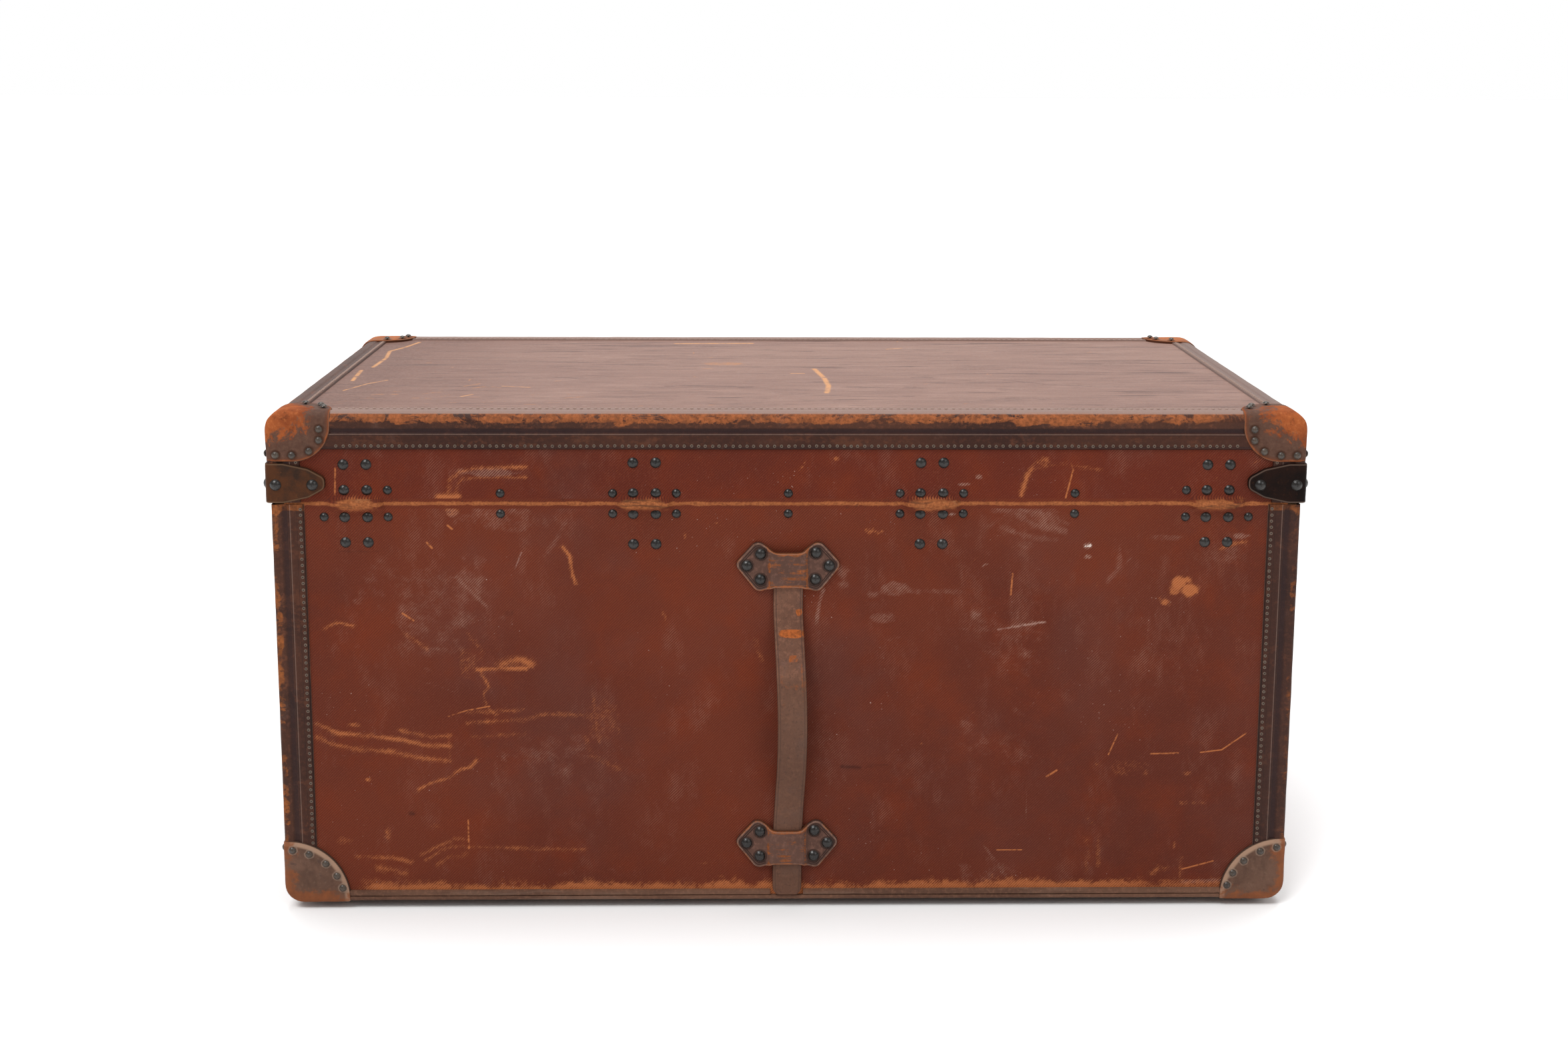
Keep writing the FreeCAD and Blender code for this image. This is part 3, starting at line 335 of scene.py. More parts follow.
def closed_plate(flat, faces, count, top, bottom):
    """A solid plate: top and bottom heights at each flat point. The first count points are its edge."""
    n = len(flat)
    points = np.concatenate([np.column_stack([flat, top]), np.column_stack([flat, bottom])])
    solid = faces + [[i + n for i in f[::-1]] for f in faces]
    for i in range(count):
        j = (i + 1) % count
        solid.append([j, i, i + n, j + n])
    return points, solid


# Places on the trunk
def box_corner(lid, offset):
    """Corner of the sharp block grown by offset: x, y, and the lid's top or the body's foot."""
    if lid:
        return LID_X + offset, HALF_Y + offset, TOP_Z + offset
    return BODY_X + offset, HALF_Y + offset, FOOT_Z - offset


def around_upright(lid, side, face, t):
    """x and y round an upright edge: t below 0 is on the long face, above 0 on the end, 0 on the edge."""
    x, y, _ = box_corner(lid, SKIN)
    return side * (x + np.minimum(t, 0)), face * (y - np.maximum(t, 0))


def beside_edge(lid, along_x, sense, along, inwards, z):
    """Points by a level edge of the trunk, from how far along it and inwards of it they lie."""
    x, y, _ = box_corner(lid, SKIN)
    if along_x:
        return np.column_stack([along, sense * (y - inwards), z])
    return np.column_stack([sense * (x - inwards), along, z])


# Canvas
def from_hinge(x):
    """Distance along the back to the nearest hinge."""
    return np.min(np.abs(x[:, None] - np.array(HINGE_X)[None]), axis=1)


def hinge_swell(x, v):
    """How far the hinges push the canvas out, at a height v off their pins, and a mark of where."""
    near = from_hinge(x)
    over = smooth(31.0, 24.0, near)
    knuckle = 6.9 * over / (1 + (np.abs(v) / 5.2) ** 4.5)
    leaf = 0.4 * smooth(23.0, 20.5, near) * smooth(53.0, 50.5, np.abs(v))
    return knuckle + leaf, over


def hinge_smear(x, v):
    """Ragged ovals over the hinges, where the canvas is worn through."""
    flat = np.column_stack([x * 0.5, np.zeros(len(x)), v])
    oval = np.hypot(from_hinge(x) / 27.0, v / 7.5)
    return smooth(1.5, 0.2, oval + 0.2 * rough(flat, 0.12, 93))


def skin_patches(lid):
    """The five outer faces of the canvas, as grids on the sharp block."""
    x, y, z = box_corner(lid, CANVAS)
    pitch, back_pitch, top_pitch = 6.0, 2.4, 3.0
    low, top = (RIM_Z, z) if lid else (z, SEAM_Z)
    seam = AXIS_Z + (SEAM_HALF if lid else -SEAM_HALF)
    tall = abs((top if lid else low) - seam)
    across = np.linspace(-x, x, int(2 * x / back_pitch) + 1)
    steps = np.concatenate([[0.0, 0.9, 1.9, 3.0, 4.4], np.linspace(6.0, tall, int(tall / back_pitch))])
    up = seam + steps * (1 if lid else -1)
    result = [("back", *patch((0, -y, 0), (1, 0, 0), (0, 0, 1), across, up))]
    across, deep = np.linspace(-x, x, int(2 * x / pitch)), np.linspace(-y, y, int(2 * y / pitch))
    rim = [0.0, 0.4, 0.9, 1.6, 2.6, 4.2]
    steps = np.concatenate([rim, np.linspace(7.0, top - low, int((top - low) / pitch))])
    up = low + steps if lid else top - steps
    result.append(("front", *patch((0, y, 0), (1, 0, 0), (0, 0, 1), across, up)))
    for name, side in (("left", -1), ("right", 1)):
        result.append((name, *patch((side * x, 0, 0), (0, 1, 0), (0, 0, 1), deep, up)))
    if lid:
        across, deep = np.linspace(-x, x, int(2 * x / top_pitch)), np.linspace(-y, y, int(2 * y / top_pitch))
    result.append(("flat", *patch((0, 0, z), (1, 0, 0), (0, 1, 0), across, deep)))
    return result


def make_canvas(name, lid, materials, node, marks):
    """The cloth over the boards. The lid's top takes the second material."""
    sheets = Sheets()
    middle = np.array([0, 0, 500.0 if lid else 230.0])      # a point inside, that the faces look away from
    for face, points, faces in skin_patches(lid):
        offset = CANVAS
        if face == "back":
            offset = CANVAS + hinge_swell(points[:, 0], points[:, 2] - AXIS_Z)[0]
        elif face != "flat":
            from_rim = np.abs(points[:, 2] - (RIM_Z if lid else SEAM_Z))
            offset = CANVAS - 0.6 * smooth(1.8, 0.2, from_rim)
        points = wrap(points, offset, lid)
        pick = 1 if lid and face == "flat" else 0
        sheets.add(points, outward(points, faces, middle), pick, **marks(face, points))
    sheets.piece(name, materials, body_of(lid), node, (node,), 60)


def make_seam(material):
    """The strip of canvas that bends when the lid opens: a fuzzy worn line, swelling over the hinges."""
    us = np.linspace(-INNER_X, INNER_X, 640)
    outer = np.linspace(1.6, SEAM_HALF, 7)
    vs = np.concatenate([-outer[::-1], np.linspace(-1.2, 1.2, 5), outer])
    u, v = pairs(us, vs)
    p = np.column_stack([u, np.zeros(len(u)), v])
    swell, over = hinge_swell(u, v)
    line = v - 0.5 * lattice(p * np.array([1, 0, 0]), 0.05, 5)
    ridge = 0.5 * np.exp(-(line / 1.1) ** 2)
    fuzz = 0.3 * np.abs(rough(p, 0.5, 8)) * np.exp(-(v / 2.4) ** 2)
    pleat = 0.3 * np.abs(rough(p * np.array([1, 1, 2.5]), 0.12, 15)) * over
    height = swell + (ridge + fuzz + pleat) * smooth(SEAM_HALF, SEAM_HALF - 0.8, np.abs(v))
    points = np.column_stack([u, -HALF_Y - CANVAS - height, AXIS_Z + v])
    faces = outward(points, grid_faces(len(vs), len(us)), (0, 0, AXIS_Z))
    piece = make("seam_canvas", points, faces, material, None, ("hinge_canvas",),
                 {"seam": np.abs(line), "hinge": hinge_smear(u, v)}, 70)
    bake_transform(piece)


# Leather edging
def thickness(d, width, flat, groove, sunk, lines, cut, roll, lift):
    """How thick the edging is over the boards, at a distance d from the trunk's edge.

    The groove has four corners and is sunk, the lines are cut, and the roll lifts the outer part."""
    start, low, high, stop = groove
    value = flat - sunk * smooth(start, low, d) * smooth(stop, high, d) + lift * smooth(*roll, d)
    for line in lines:
        value = value - cut * np.exp(-((d - line) / 0.5) ** 2)
    return CANVAS + (value - CANVAS) * smooth(width + 0.05, width - 0.7, d)


def upright_profile(d):
    """The leg of an upright edging."""
    flat = 3.0 + 0.25 * smooth(EDGING, EDGING - 5.0, d)
    return thickness(d, EDGING, flat, (10.2, 12.2, 16.2, 18.2), 1.25, (19.2, 21.2), 0.35, (11.0, 5.0), 0.7)


def side_profile(d):
    """The leg of the lid's edging that goes down its sides."""
    return thickness(d, LID_SIDE, 3.1, (17.4, 19.2, 22.8, 24.6), 1.35, (26.2, 28.0), 0.35, (18.6, 9.0), 0.85)


def top_profile(d, width):
    """The leg of the lid's edging that lies on its top."""
    foot = width * 0.62
    groove = (foot, foot + 1.6, foot + 4.0, foot + 5.6)
    return thickness(d, width, 3.1, groove, 0.9, (width * 0.5, width * 0.44), 0.3, (foot, width * 0.3), 0.85)


def legs(low, high, fine):
    """Signed distances across an edging, denser at its rims."""
    values = [-low, -low + 0.35, -low + 0.8, *np.arange(-low + 1.2, high - 1.0, fine)]
    return np.array(values + [high - 0.8, high - 0.35, high])


def edging_run(sheets, points, columns, height, waves, wear, across, lid, seed):
    """Wraps one run of edging over the carcass; its points are rows that go across it.

    Waves says where its height may be uneven; wear and across are numbers for its look."""
    uneven = 0.16 * rough(points, 0.045, seed, 2)
    done = wrap(points, np.maximum(height + uneven * waves, CANVAS), lid, soft=0.3)
    faces = outward(done, grid_faces(len(points) // columns, columns), INSIDE)
    sheets.add(done, faces, wear=wear, across=across)


def upright_run(sheets, lid, side, face, low, high, seed):
    """The edging round one upright edge, from one height to another."""
    across = legs(EDGING, EDGING, 1.0)
    t, z = pairs(across, np.linspace(low, high, max(3, int((high - low) / 4) + 1)))
    x, y = around_upright(lid, side, face, t)
    d = np.abs(t)
    wear = 0.66 * smooth(12.5, 5.5, d) + 0.2 * smooth(EDGING - 2.0, EDGING, d)
    if not lid:
        wear += smooth(SEAM_Z - 11.0, SEAM_Z - 4.0, z)
    edging_run(sheets, np.column_stack([x, y, z]), len(across), upright_profile(d),
               smooth(EDGING, EDGING - 2.0, d), wear, d, lid, seed)


def lid_run(sheets, along_x, sense, seed):
    """One of the four runs round the lid's top: t below 0 is on the side, above 0 on the top."""
    x_out, y_out, z_out = box_corner(True, SKIN)
    width = LID_LONG if along_x else EDGING
    across = legs(LID_SIDE, width, 0.9)
    reach = x_out - 44.0 if along_x else y_out - 38.0      # its ends lie under the caps
    t, s = pairs(across, np.linspace(-reach, reach, int(2 * reach / 4) + 1))
    points = beside_edge(True, along_x, sense, s, np.maximum(t, 0), z_out + np.minimum(t, 0))
    d = np.abs(t)
    height = np.where(t < 0, side_profile(d), top_profile(d, width))
    waves = np.where(t < 0, smooth(LID_SIDE, LID_SIDE - 2.0, d), smooth(width, width - 2.0, d))
    on_top = smooth(8.0, 2.0, d) if along_x else smooth(17.0, 7.0, d)
    wear = np.where(t < 0, smooth(19.5, 9.0, d), on_top) * 0.85 + 0.15 * (1 - waves)
    edging_run(sheets, points, len(across), height, waves, wear, np.where(t < 0, d, 100 + d), True, seed)


def bottom_run(sheets, along_x, sense, low, high, spans, depth, seed, wobble):
    """A strip along the lower edge: t above 0 goes up the face, below 0 goes in under the bottom.

    Spans are its pieces along the edge, depth its height over the boards, wobble how wavy it is."""
    z_out = box_corner(False, SKIN)[2]
    inner = np.linspace(low + 0.8, high - 0.8, max(4, int((high - low) / 1.2)))
    across = np.concatenate([[low, low + 0.3], inner, [high - 0.3, high]])
    for start, stop in spans:
        along = np.linspace(start, stop, int(abs(stop - start) / 3) + 2)
        t, s = pairs(across, along)
        points = beside_edge(False, along_x, sense, s, np.maximum(-t, 0), z_out + np.maximum(t, 0))
        rim = smooth(low, low + 0.9, t) * smooth(high, high - 0.9, t)
        shift = wobble * rough(np.column_stack([s, s * 0, s * 0 + sense * 50]), 0.06, seed)
        points[:, 2] += shift * smooth(0.0, 1.0, t) * smooth(high + 2, high - 2, t)
        offset = CANVAS + (depth - CANVAS) * rim ** 0.6 + 0.12 * rough(points, 0.12, seed + 5, 2) * rim
        done = wrap(points, offset, False, soft=0.3)
        faces = outward(done, grid_faces(len(along), len(across)), INSIDE)
        sheets.add(done, faces, wear=0.35 * smooth(0.6, 1.0, rim), across=t)


def eyelets(sheets, centres, normals):
    """Small pierced nails: a ring whose hollow is closed by a disc of painted shade for the hole."""
    radius, height, steps = 1.9, 0.75, 10
    ring_shares = ((1.0, -0.3), (0.98, 0.25), (0.75, 1.0), (0.45, 0.75), (0.36, 0.1))
    angles = np.arange(steps) * 2 * math.pi / steps
    for centre, normal in zip(centres, normals):
        n = normal / np.linalg.norm(normal)
        a = np.cross(n, (0.3, 0.5, 0.81))
        a /= np.linalg.norm(a)
        b = np.cross(n, a)
        circle = np.cos(angles)[:, None] * a + np.sin(angles)[:, None] * b
        points = np.concatenate([centre + circle * radius * r + n * height * h for r, h in ring_shares])
        sheets.add(points, grid_faces(len(ring_shares), steps, closed=True), 0)
        # The disc that closes the hollow takes the second material, a near-black painted shade for the hole
        sheets.add(points[-steps:], [list(range(steps))], 1)


def nail_rows(lid):
    """Places of the nails on the sharp block."""
    places = []
    x_out, y_out, z_out = box_corner(lid, SKIN)
    rng = np.random.default_rng(11 if lid else 12)

    def row(count, low, high, place):
        """Nails from low to high; place turns how far along and how far off the line into a point."""
        for i in range(count):
            slip, drift = rng.uniform(-0.45, 0.45, 2)
            places.append(place(low + i * (high - low) / (count - 1) + slip, drift * 0.5))

    inwards = 31.0                 # from the trunk's upright edges to the nails beside them
    if lid:
        side_z, on_long, on_end, single_z = z_out - 36.9, y_out - 24.5, x_out - 31.5, 496.8
        long_row, end_row = (131, -474, 474), (62, -228, 228)
        for sense in (-1, 1):
            row(*long_row, lambda s, off: (s, sense * y_out, side_z + off))
            row(*long_row, lambda s, off: (s, sense * on_long + off, z_out))
            row(*end_row, lambda s, off: (sense * x_out, s, side_z + off))
            row(*end_row, lambda s, off: (sense * on_end + off, s, z_out))
            for face in (-1, 1):
                places.append((sense * (x_out - inwards), face * y_out, single_z))
                places.append((sense * x_out, face * (y_out - inwards), single_z))
    else:
        upright_row = (56, 76.0, 446.7)
        for side in (-1, 1):
            for face in (-1, 1):
                row(*upright_row, lambda s, off: (side * (x_out - inwards) + off, face * y_out, s))
                row(*upright_row, lambda s, off: (side * x_out, face * (y_out - inwards) + off, s))
    return np.array(places)


def make_nails(name, lid, materials):
    """All the small nails of the body's or the lid's edging."""
    places = nail_rows(lid)
    leather_top, above = 3.05 if lid else 3.2, 5.0
    base = wrap(places, leather_top, lid)
    sheets = Sheets()
    eyelets(sheets, base, wrap(places, above, lid) - base)
    sheets.piece(name, materials, body_of(lid), "rivet_metal", (), 50)


# Corner caps: reaches along x, y and z, radius of the outline, and places of the rivets on the long, the
# end and the flat face as shares of the reaches
BODY_CAP = ((72.0, 72.0, 71.0), 66.0,
            ((0.156, 0.86), (0.403, 0.796), (0.649, 0.644), (0.81, 0.446), (0.893, 0.25)),
            ((0.156, 0.86), (0.403, 0.796), (0.649, 0.644), (0.79, 0.48)), ())
LID_CAP = ((70.0, 54.0, 56.0), 40.0,
           ((0.84, 0.37), (0.834, 0.58), (0.68, 0.79), (0.423, 0.866), (0.18, 0.864)),
           ((0.78, 0.66), (0.56, 0.84), (0.22, 0.864)), ((0.86, 0.42), (0.78, 0.66), (0.52, 0.84)))

# How high a cap stands over the boards, by the distance from its outline
CAP_RISE = ((0, 0.3, 0.8, 1.8, 3.5, 6.0, 12.0), (4.3, 4.9, 5.4, 5.75, 5.85, 6.0, 6.05))


def cap_corner(lid, side, face):
    """The sharp corner under a cap, and the directions that lead away from it over the trunk."""
    x_out, y_out, z_out = box_corner(lid, CAP)
    return np.array([side * x_out, face * y_out, z_out]), np.array([-side, -face, -1 if lid else 1])


def quarter_path(a, b, r, steps):
    """Points from (a, 0) round a corner of radius r to (0, b), evenly spaced."""
    r = max(min(r, a, b), 0.0)
    angles = np.linspace(0, math.pi / 2, 16)
    arc = np.column_stack([a - r + r * np.cos(angles), b - r + r * np.sin(angles)])
    return spread(np.vstack([[a, 0], arc, [0, b]]), steps)


def cap_loops(lid, side, face):
    """Loops over the three faces, from the cap's outline in to its corner, and how far in each point lies."""
    corner, inward = cap_corner(lid, side, face)
    reaches, arc = (LID_CAP if lid else BODY_CAP)[:2]
    insets, steps = (0, 0.3, 0.8, 1.8, 3.0, 4.5, 6.0), 27
    shares = np.linspace(1, 0.06, 15)[1:]
    loops, depths = [], []
    for inset, share in [(i, 1.0) for i in insets] + [(insets[-1], s) for s in shares]:
        reach = [(r - inset) * share for r in reaches]
        for first, second in ((0, 2), (2, 1), (1, 0)):
            away = np.zeros((steps - 1, 3))
            path = quarter_path(reach[first], reach[second], (arc - inset) * share, steps)
            away[:, first], away[:, second] = path[:-1].T
            loops.append(corner + away * inward)
            depths.append(np.full(steps - 1, inset + (1 - share) * (min(reaches) - insets[-1])))
    points = np.vstack(loops + [[corner]])
    return points, np.concatenate(depths + [[min(reaches)]]), 3 * (steps - 1)


def cap_rivets(lid, side, face):
    """Places of a cap's rivets."""
    corner, inward = cap_corner(lid, side, face)
    reaches, _, *rivets = LID_CAP if lid else BODY_CAP
    places = []
    for shares, (first, second) in zip(rivets, ((0, 2), (1, 2), (0, 1))):
        for h, v in shares:
            away = np.zeros(3)
            away[first], away[second] = h * reaches[first], v * reaches[second]
            places.append(corner + away * inward)
    return np.array(places)


def make_cap(lid, side, face, material, node):
    """A moulded corner of leather, with its rim turned down on the canvas."""
    corner, inward = cap_corner(lid, side, face)
    points, depth, n = cap_loops(lid, side, face)
    away = to_nearest(points, cap_rivets(lid, side, face))
    seed = 40 + (side > 0) + 2 * (face > 0) + 4 * lid
    lumps = 0.32 * rough(points, 0.05, seed) * smooth(0.5, 6.0, depth) * smooth(3.0, 9.0, away)
    dents = 0.25 * smooth(6.5, 4.0, away)          # pressed in by the rivets
    offset = np.interp(depth, *CAP_RISE) + lumps - dents
    done = wrap(points, offset, lid, soft=2.2 if lid else 1.2, rounds=9)
    foot = wrap(points[:n], CANVAS, lid, soft=0.3, rounds=9)
    verts = np.vstack([foot, done])
    tip = len(verts) - 1
    faces = grid_faces(tip // n, n, closed=True)
    faces += [[tip - n + j, tip - n + (j + 1) % n, tip] for j in range(n)]
    faces = outward(verts, faces, corner + 90 * inward)
    ridge = np.sort(np.abs(np.abs(verts) - np.abs(corner)), axis=1)[:, 1]
    marks = {"edge": np.concatenate([np.zeros(n), depth]), "rivet": np.concatenate([np.full(n, 99.0), away]),
             "corner": np.linalg.norm(verts - corner, axis=1), "ridge": ridge}
    make(node + "_worn", verts, faces, material, body_of(lid), (node,), marks, 50)


# Brackets
BRACKET_HALF, BRACKET_REACH = 21.2, 61.0


def bracket_outline():
    """A lozenge with blunt corners."""
    half, reach = BRACKET_HALF, BRACKET_REACH
    right = [(reach * 0.3, half, 14.0), (reach * 0.72, half * 0.73, 14.0), (reach, half * 0.28, 7.0)]
    upper = [(-x, y, r) for x, y, r in reversed(right)] + right
    return rounded(upper + [(x, -y, r) for x, y, r in reversed(upper)])


def make_brackets(name, face, materials, node):
    """The two plates bent round the lower corners of the lid, on one long side."""
    rings, bottom, above_rim = (0.35, 0.9, 1.8), 1.2, 1.2
    flat, d, faces, count = plate(bracket_outline(), 2.2, rings)
    top = np.interp(d, (0, *rings), (5.2, 5.75, 5.97, 6.0))
    verts, solid = closed_plate(flat, faces, count, top, np.full(len(flat), bottom))
    sheets = Sheets()
    for pick, side in enumerate((-1, 1)):
        x, y = around_upright(True, side, face, verts[:, 0])
        points = np.column_stack([x, y, RIM_Z + above_rim + BRACKET_HALF + verts[:, 1]])
        hammered = 0.1 * rough(points, 0.05, 61 + pick, 2) * (verts[:, 2] > 5)
        done = wrap(points, verts[:, 2] + hammered, True, soft=0.3)
        turned = solid if side * face > 0 else [f[::-1] for f in solid]
        sheets.add(done, turned, pick, edge=np.tile(d, 2))
    sheets.piece(name, materials, "lid", "bracket_metal", (node,), 50)


# Loops and straps: the loop's corners as (x, z, radius), and its rivets
LOOP_CORNERS = ((-33.0, 29.0, 9.0), (-14.0, 15.5, 13.0), (14.0, 15.5, 13.0), (33.0, 29.0, 9.0),
                (57.5, 2.0, 8.0), (33.0, -29.0, 9.0), (14.0, -22.8, 13.0), (-14.0, -22.8, 13.0),
                (-33.0, -29.0, 9.0), (-57.5, 2.0, 8.0))
LOOP_RIVETS = ((-29.0, 13.6), (-43.6, 0.6), (-29.2, -14.4), (29.6, 14.8), (43.8, 0.6), (29.0, -14.2))

# Rubbed spots on the straps: across, along, half width, half length, strength
BACK_RUBS = ((2.0, 311.0, 13.0, 4.0, 1.1), (11.0, 334.0, 3.5, 4.0, 0.9), (3.0, 286.0, 6.0, 4.5, 0.7),
             (12.0, 262.0, 3.0, 22.0, 0.6), (-10.0, 246.0, 4.0, 26.0, 0.5), (0.0, 258.0, 9.0, 4.0, 0.65),
             (6.0, 205.0, 8.0, 20.0, 0.35), (-9.0, 150.0, 4.0, 18.0, 0.4), (-6.0, 342.0, 9.0, 14.0, 0.4))
END_RUBS = ((1.0, 44.0, 12.0, 3.0, 0.9), (-8.0, 20.0, 5.0, 5.0, 0.6), (9.0, -26.0, 4.0, 14.0, 0.5),
            (-2.0, -58.0, 10.0, 3.0, 0.6))


def loop_sheet(seed):
    """A winged loop lying flat: points (x, z, height off the canvas), faces and its wear numbers."""
    rings, arch, arch_half = (0.3, 0.8, 1.6), 5.65, 16.45      # the arch is the room for the strap
    flat, d, faces, count = plate(rounded(LOOP_CORNERS), 1.7, rings)
    x = np.abs(flat[:, 0])
    away = to_nearest(flat, LOOP_RIVETS)
    body = np.interp(d, (0, *rings, 5.0), (2.2, 3.1, 3.6, 3.9, 3.95))
    groove = 0.35 * np.exp(-((d - 3.4) / 0.45) ** 2) + 0.3 * np.exp(-((d - 5.3) / 0.45) ** 2)
    groove *= smooth(20.0, 23.0, x) * smooth(5.4, 6.6, away)
    rise = smooth(24.5, 17.2, x)
    lumps = 0.15 * rough(np.column_stack([flat, np.zeros(len(flat))]), 0.07, seed) * smooth(7, 9, away)
    top, bottom = body - groove + 5.25 * rise + lumps, np.where(x < arch_half, arch, 0.0)
    verts, solid = closed_plate(flat, faces, count, top, bottom)
    return verts, solid, {"edge": np.tile(d, 2), "rivet": np.tile(away, 2), "rise": np.tile(rise, 2)}


def make_back_loop(node, middle, material, seed):
    """A loop across the back, with its middle at a height."""
    verts, faces, extra = loop_sheet(seed)
    points = np.column_stack([verts[:, 0], -HALF_Y - CANVAS - verts[:, 2], middle + verts[:, 1]])
    sheets = Sheets()
    sheets.add(points, outward(points, faces, (0, -HALF_Y - 3, middle)), **extra)
    sheets.piece(node + "_worn", material, "body", "handle_leather", (node,), 45)


def make_end_loops(node, side, material):
    """The two loops of the handle on one end, turned to face each other."""
    sheets = Sheets()
    for sense in (-1, 1):
        verts, faces, extra = loop_sheet(90 + sense + side)
        u, v, h = verts.T
        across = HANDLE_Z - side * sense * u
        points = np.column_stack([side * (BODY_X + CANVAS + h), sense * (HANDLE_Y + v), across])
        middle = (side * (BODY_X + 3), sense * HANDLE_Y, HANDLE_Z)
        sheets.add(points, outward(points, faces, middle), **extra)
    sheets.piece(node + "_worn", material, "body", "handle_leather", (node,), 45)


def strap_line(low, high, bend_low, bend_high, bow):
    """Middle line of a bowed strap as (along, off, slope), with the same three arcs as the part."""
    pitch = 3.0
    half_chord = (bend_high - bend_low) / 2
    turn = 2 * math.atan(bow / half_chord)
    both = half_chord / math.sin(turn)
    first = both * 0.35
    main = both - first
    middle = (bend_low + bend_high) / 2
    line = [(z, 0.0, 0.0) for z in np.linspace(low, bend_low, max(2, int((bend_low - low) / pitch)))]
    for a in np.linspace(0, turn, 14)[1:]:
        line.append((bend_low + first * math.sin(a), first - first * math.cos(a), a))
    for a in np.linspace(turn, 0, max(8, int(main * turn / pitch)))[1:]:
        line.append((middle - main * math.sin(a), bow - main + main * math.cos(a), a))
    mirrored = [(2 * middle - z, off, -a) for z, off, a in reversed(line[:-1]) if z > bend_low - 1e-6]
    tail = [(z, 0.0, 0.0) for z in np.linspace(bend_high, high, max(2, int((high - bend_high) / pitch)))]
    return np.array(line + mirrored + tail[1:])


def strap_section():
    """Closed outline across a strap as (across, height), crowned on top and flat below."""
    half = STRAP_HALF
    rim = [(half, 1.0), (half - 0.1, 3.6), (half - 0.7, 4.5), (half - 2.0, 4.9)]
    crown = [(u, 5.0 - 0.12 * (u / half) ** 2) for u in np.linspace(-half + 3.5, half - 3.5, 17)]
    under = [(u, 0.0) for u in np.linspace(half - 1.5, -half + 1.5, 7)]
    left = [(-u, h) for u, h in rim]
    return np.array(left + crown + rim[::-1] + [(half - 0.5, 0.25)] + under + [(-half + 0.5, 0.25)])


def strap_sheet(line, lean, seed, spots, round_low=False):
    """Strap round its middle line: points (across, off, along), faces and wear numbers.

    It leans aside by so much in its middle; spots are rubbed ovals on it; its low end may be rounded."""
    ring = strap_section()
    rows = []
    z0, z1 = line[0, 0], line[-1, 0]
    tip = 9.0
    for z, off, a in line:
        share = np.clip((z - z0 - 60) / max(z1 - z0 - 120, 1), 0, 1)
        squeeze = 1.0
        if round_low and z - z0 < tip:
            squeeze = math.sqrt(max(1 - ((tip - (z - z0)) / 9.6) ** 2, 0.05)) * 0.45 + 0.55
        u, h = ring.T
        rows.append(np.column_stack([u * squeeze + lean * math.sin(math.pi * share) ** 1.3,
                                     off + h * math.cos(a), z - h * math.sin(a)]))
    points = np.vstack(rows)
    n, m = len(line), len(ring)
    bend = 0.12 * rough(points, 0.05, seed)
    points[:, 1] += bend * smooth(0.5, 3.0, np.tile(ring[:, 1], n))
    faces = grid_faces(n, m, closed=True)
    faces.append(list(range(m))[::-1])
    faces.append([(n - 1) * m + i for i in range(m)])
    across, along = np.tile(ring[:, 0], n), np.repeat(line[:, 0], m)
    rub = np.zeros(n * m)
    for u, s, half_u, half_s, strength in spots:
        away = (((across - u) / half_u) ** 4 + ((along - s) / half_s) ** 4) ** 0.25
        rub = np.maximum(rub, strength * smooth(1.35, 0.7, away))
    rub *= np.tile(ring[:, 1] > 3.0, n)
    return points, faces, {"edge": STRAP_HALF - np.abs(across), "rub": rub}


def make_strap(body, points, faces, extra, middle, material):
    """A strap that is the only piece of its body."""
    sheets = Sheets()
    sheets.add(points, outward(points, faces, middle), **extra)
    sheets.piece(body + "_worn", material, body, "handle_leather", (body,), 50)


def make_back_strap(material):
    """The upright strap, which leans a little to the right in its middle."""
    low, high, past_loop, slide, bow = 15.8, 398.0, 32, 6, 24.0
    line = strap_line(low, high, LOOP_LOW + past_loop, LOOP_HIGH - past_loop - slide, bow)
    points, faces, extra = strap_sheet(line, 4.9, 71, BACK_RUBS, round_low=True)
    across, off, along = points.T
    points = np.column_stack([across + 0.3, -HALF_Y - CANVAS - STRAP_GAP - off, along])
    make_strap("back_strap", points, faces, extra, (0, -HALF_Y + 300, 200), material)


def make_end_strap(name, side, material):
    """The handle on one end."""
    end, past_loop, slide, bow = 127.0, 32, 4, 20.0
    bend = HANDLE_Y - past_loop - slide
    line = strap_line(-end, end, -bend, bend, bow)
    points, faces, extra = strap_sheet(line, 0.8, 73 + side, END_RUBS)
    across, off, along = points.T
    points = np.column_stack([side * (BODY_X + CANVAS + STRAP_GAP + off), -side * along, HANDLE_Z + across])
    make_strap(name, points, faces, extra, (side * 300, 0, HANDLE_Z), material)


# Linings
def make_lining(name, lid, material, node):
    """A slightly puckered cloth over the inner faces of the boards."""
    low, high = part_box(node)
    cloth = 0.8
    x, y = INNER_X - cloth, INNER_Y - cloth
    z0, z1 = low.z / MM, high.z / MM
    floor = z1 - cloth if lid else z0 + cloth
    us, ws = np.linspace(-x, x, 170), np.linspace(-y, y, 86)
    zs = np.linspace(z0, z1, max(4, int((z1 - z0) / 7)))
    sheets = Sheets()

    def add(grid, axis, inward):
        points, faces = grid
        points[:, axis] += inward * np.maximum(0.18 * rough(points, 0.035, 31) + 0.1, -0.1)
        sheets.add(points, [f[::-1] for f in outward(points, faces, (0, 0, (z0 + z1) / 2))])

    for face in (-1, 1):
        add(patch((0, face * y, 0), (1, 0, 0), (0, 0, 1), us, zs), 1, -face)
        add(patch((face * x, 0, 0), (0, 1, 0), (0, 0, 1), ws, zs), 0, -face)
    add(patch((0, 0, floor), (1, 0, 0), (0, 1, 0), us, ws), 2, -1 if lid else 1)
    sheets.piece(name, material, body_of(lid), "lining_cloth", (node,), 70)


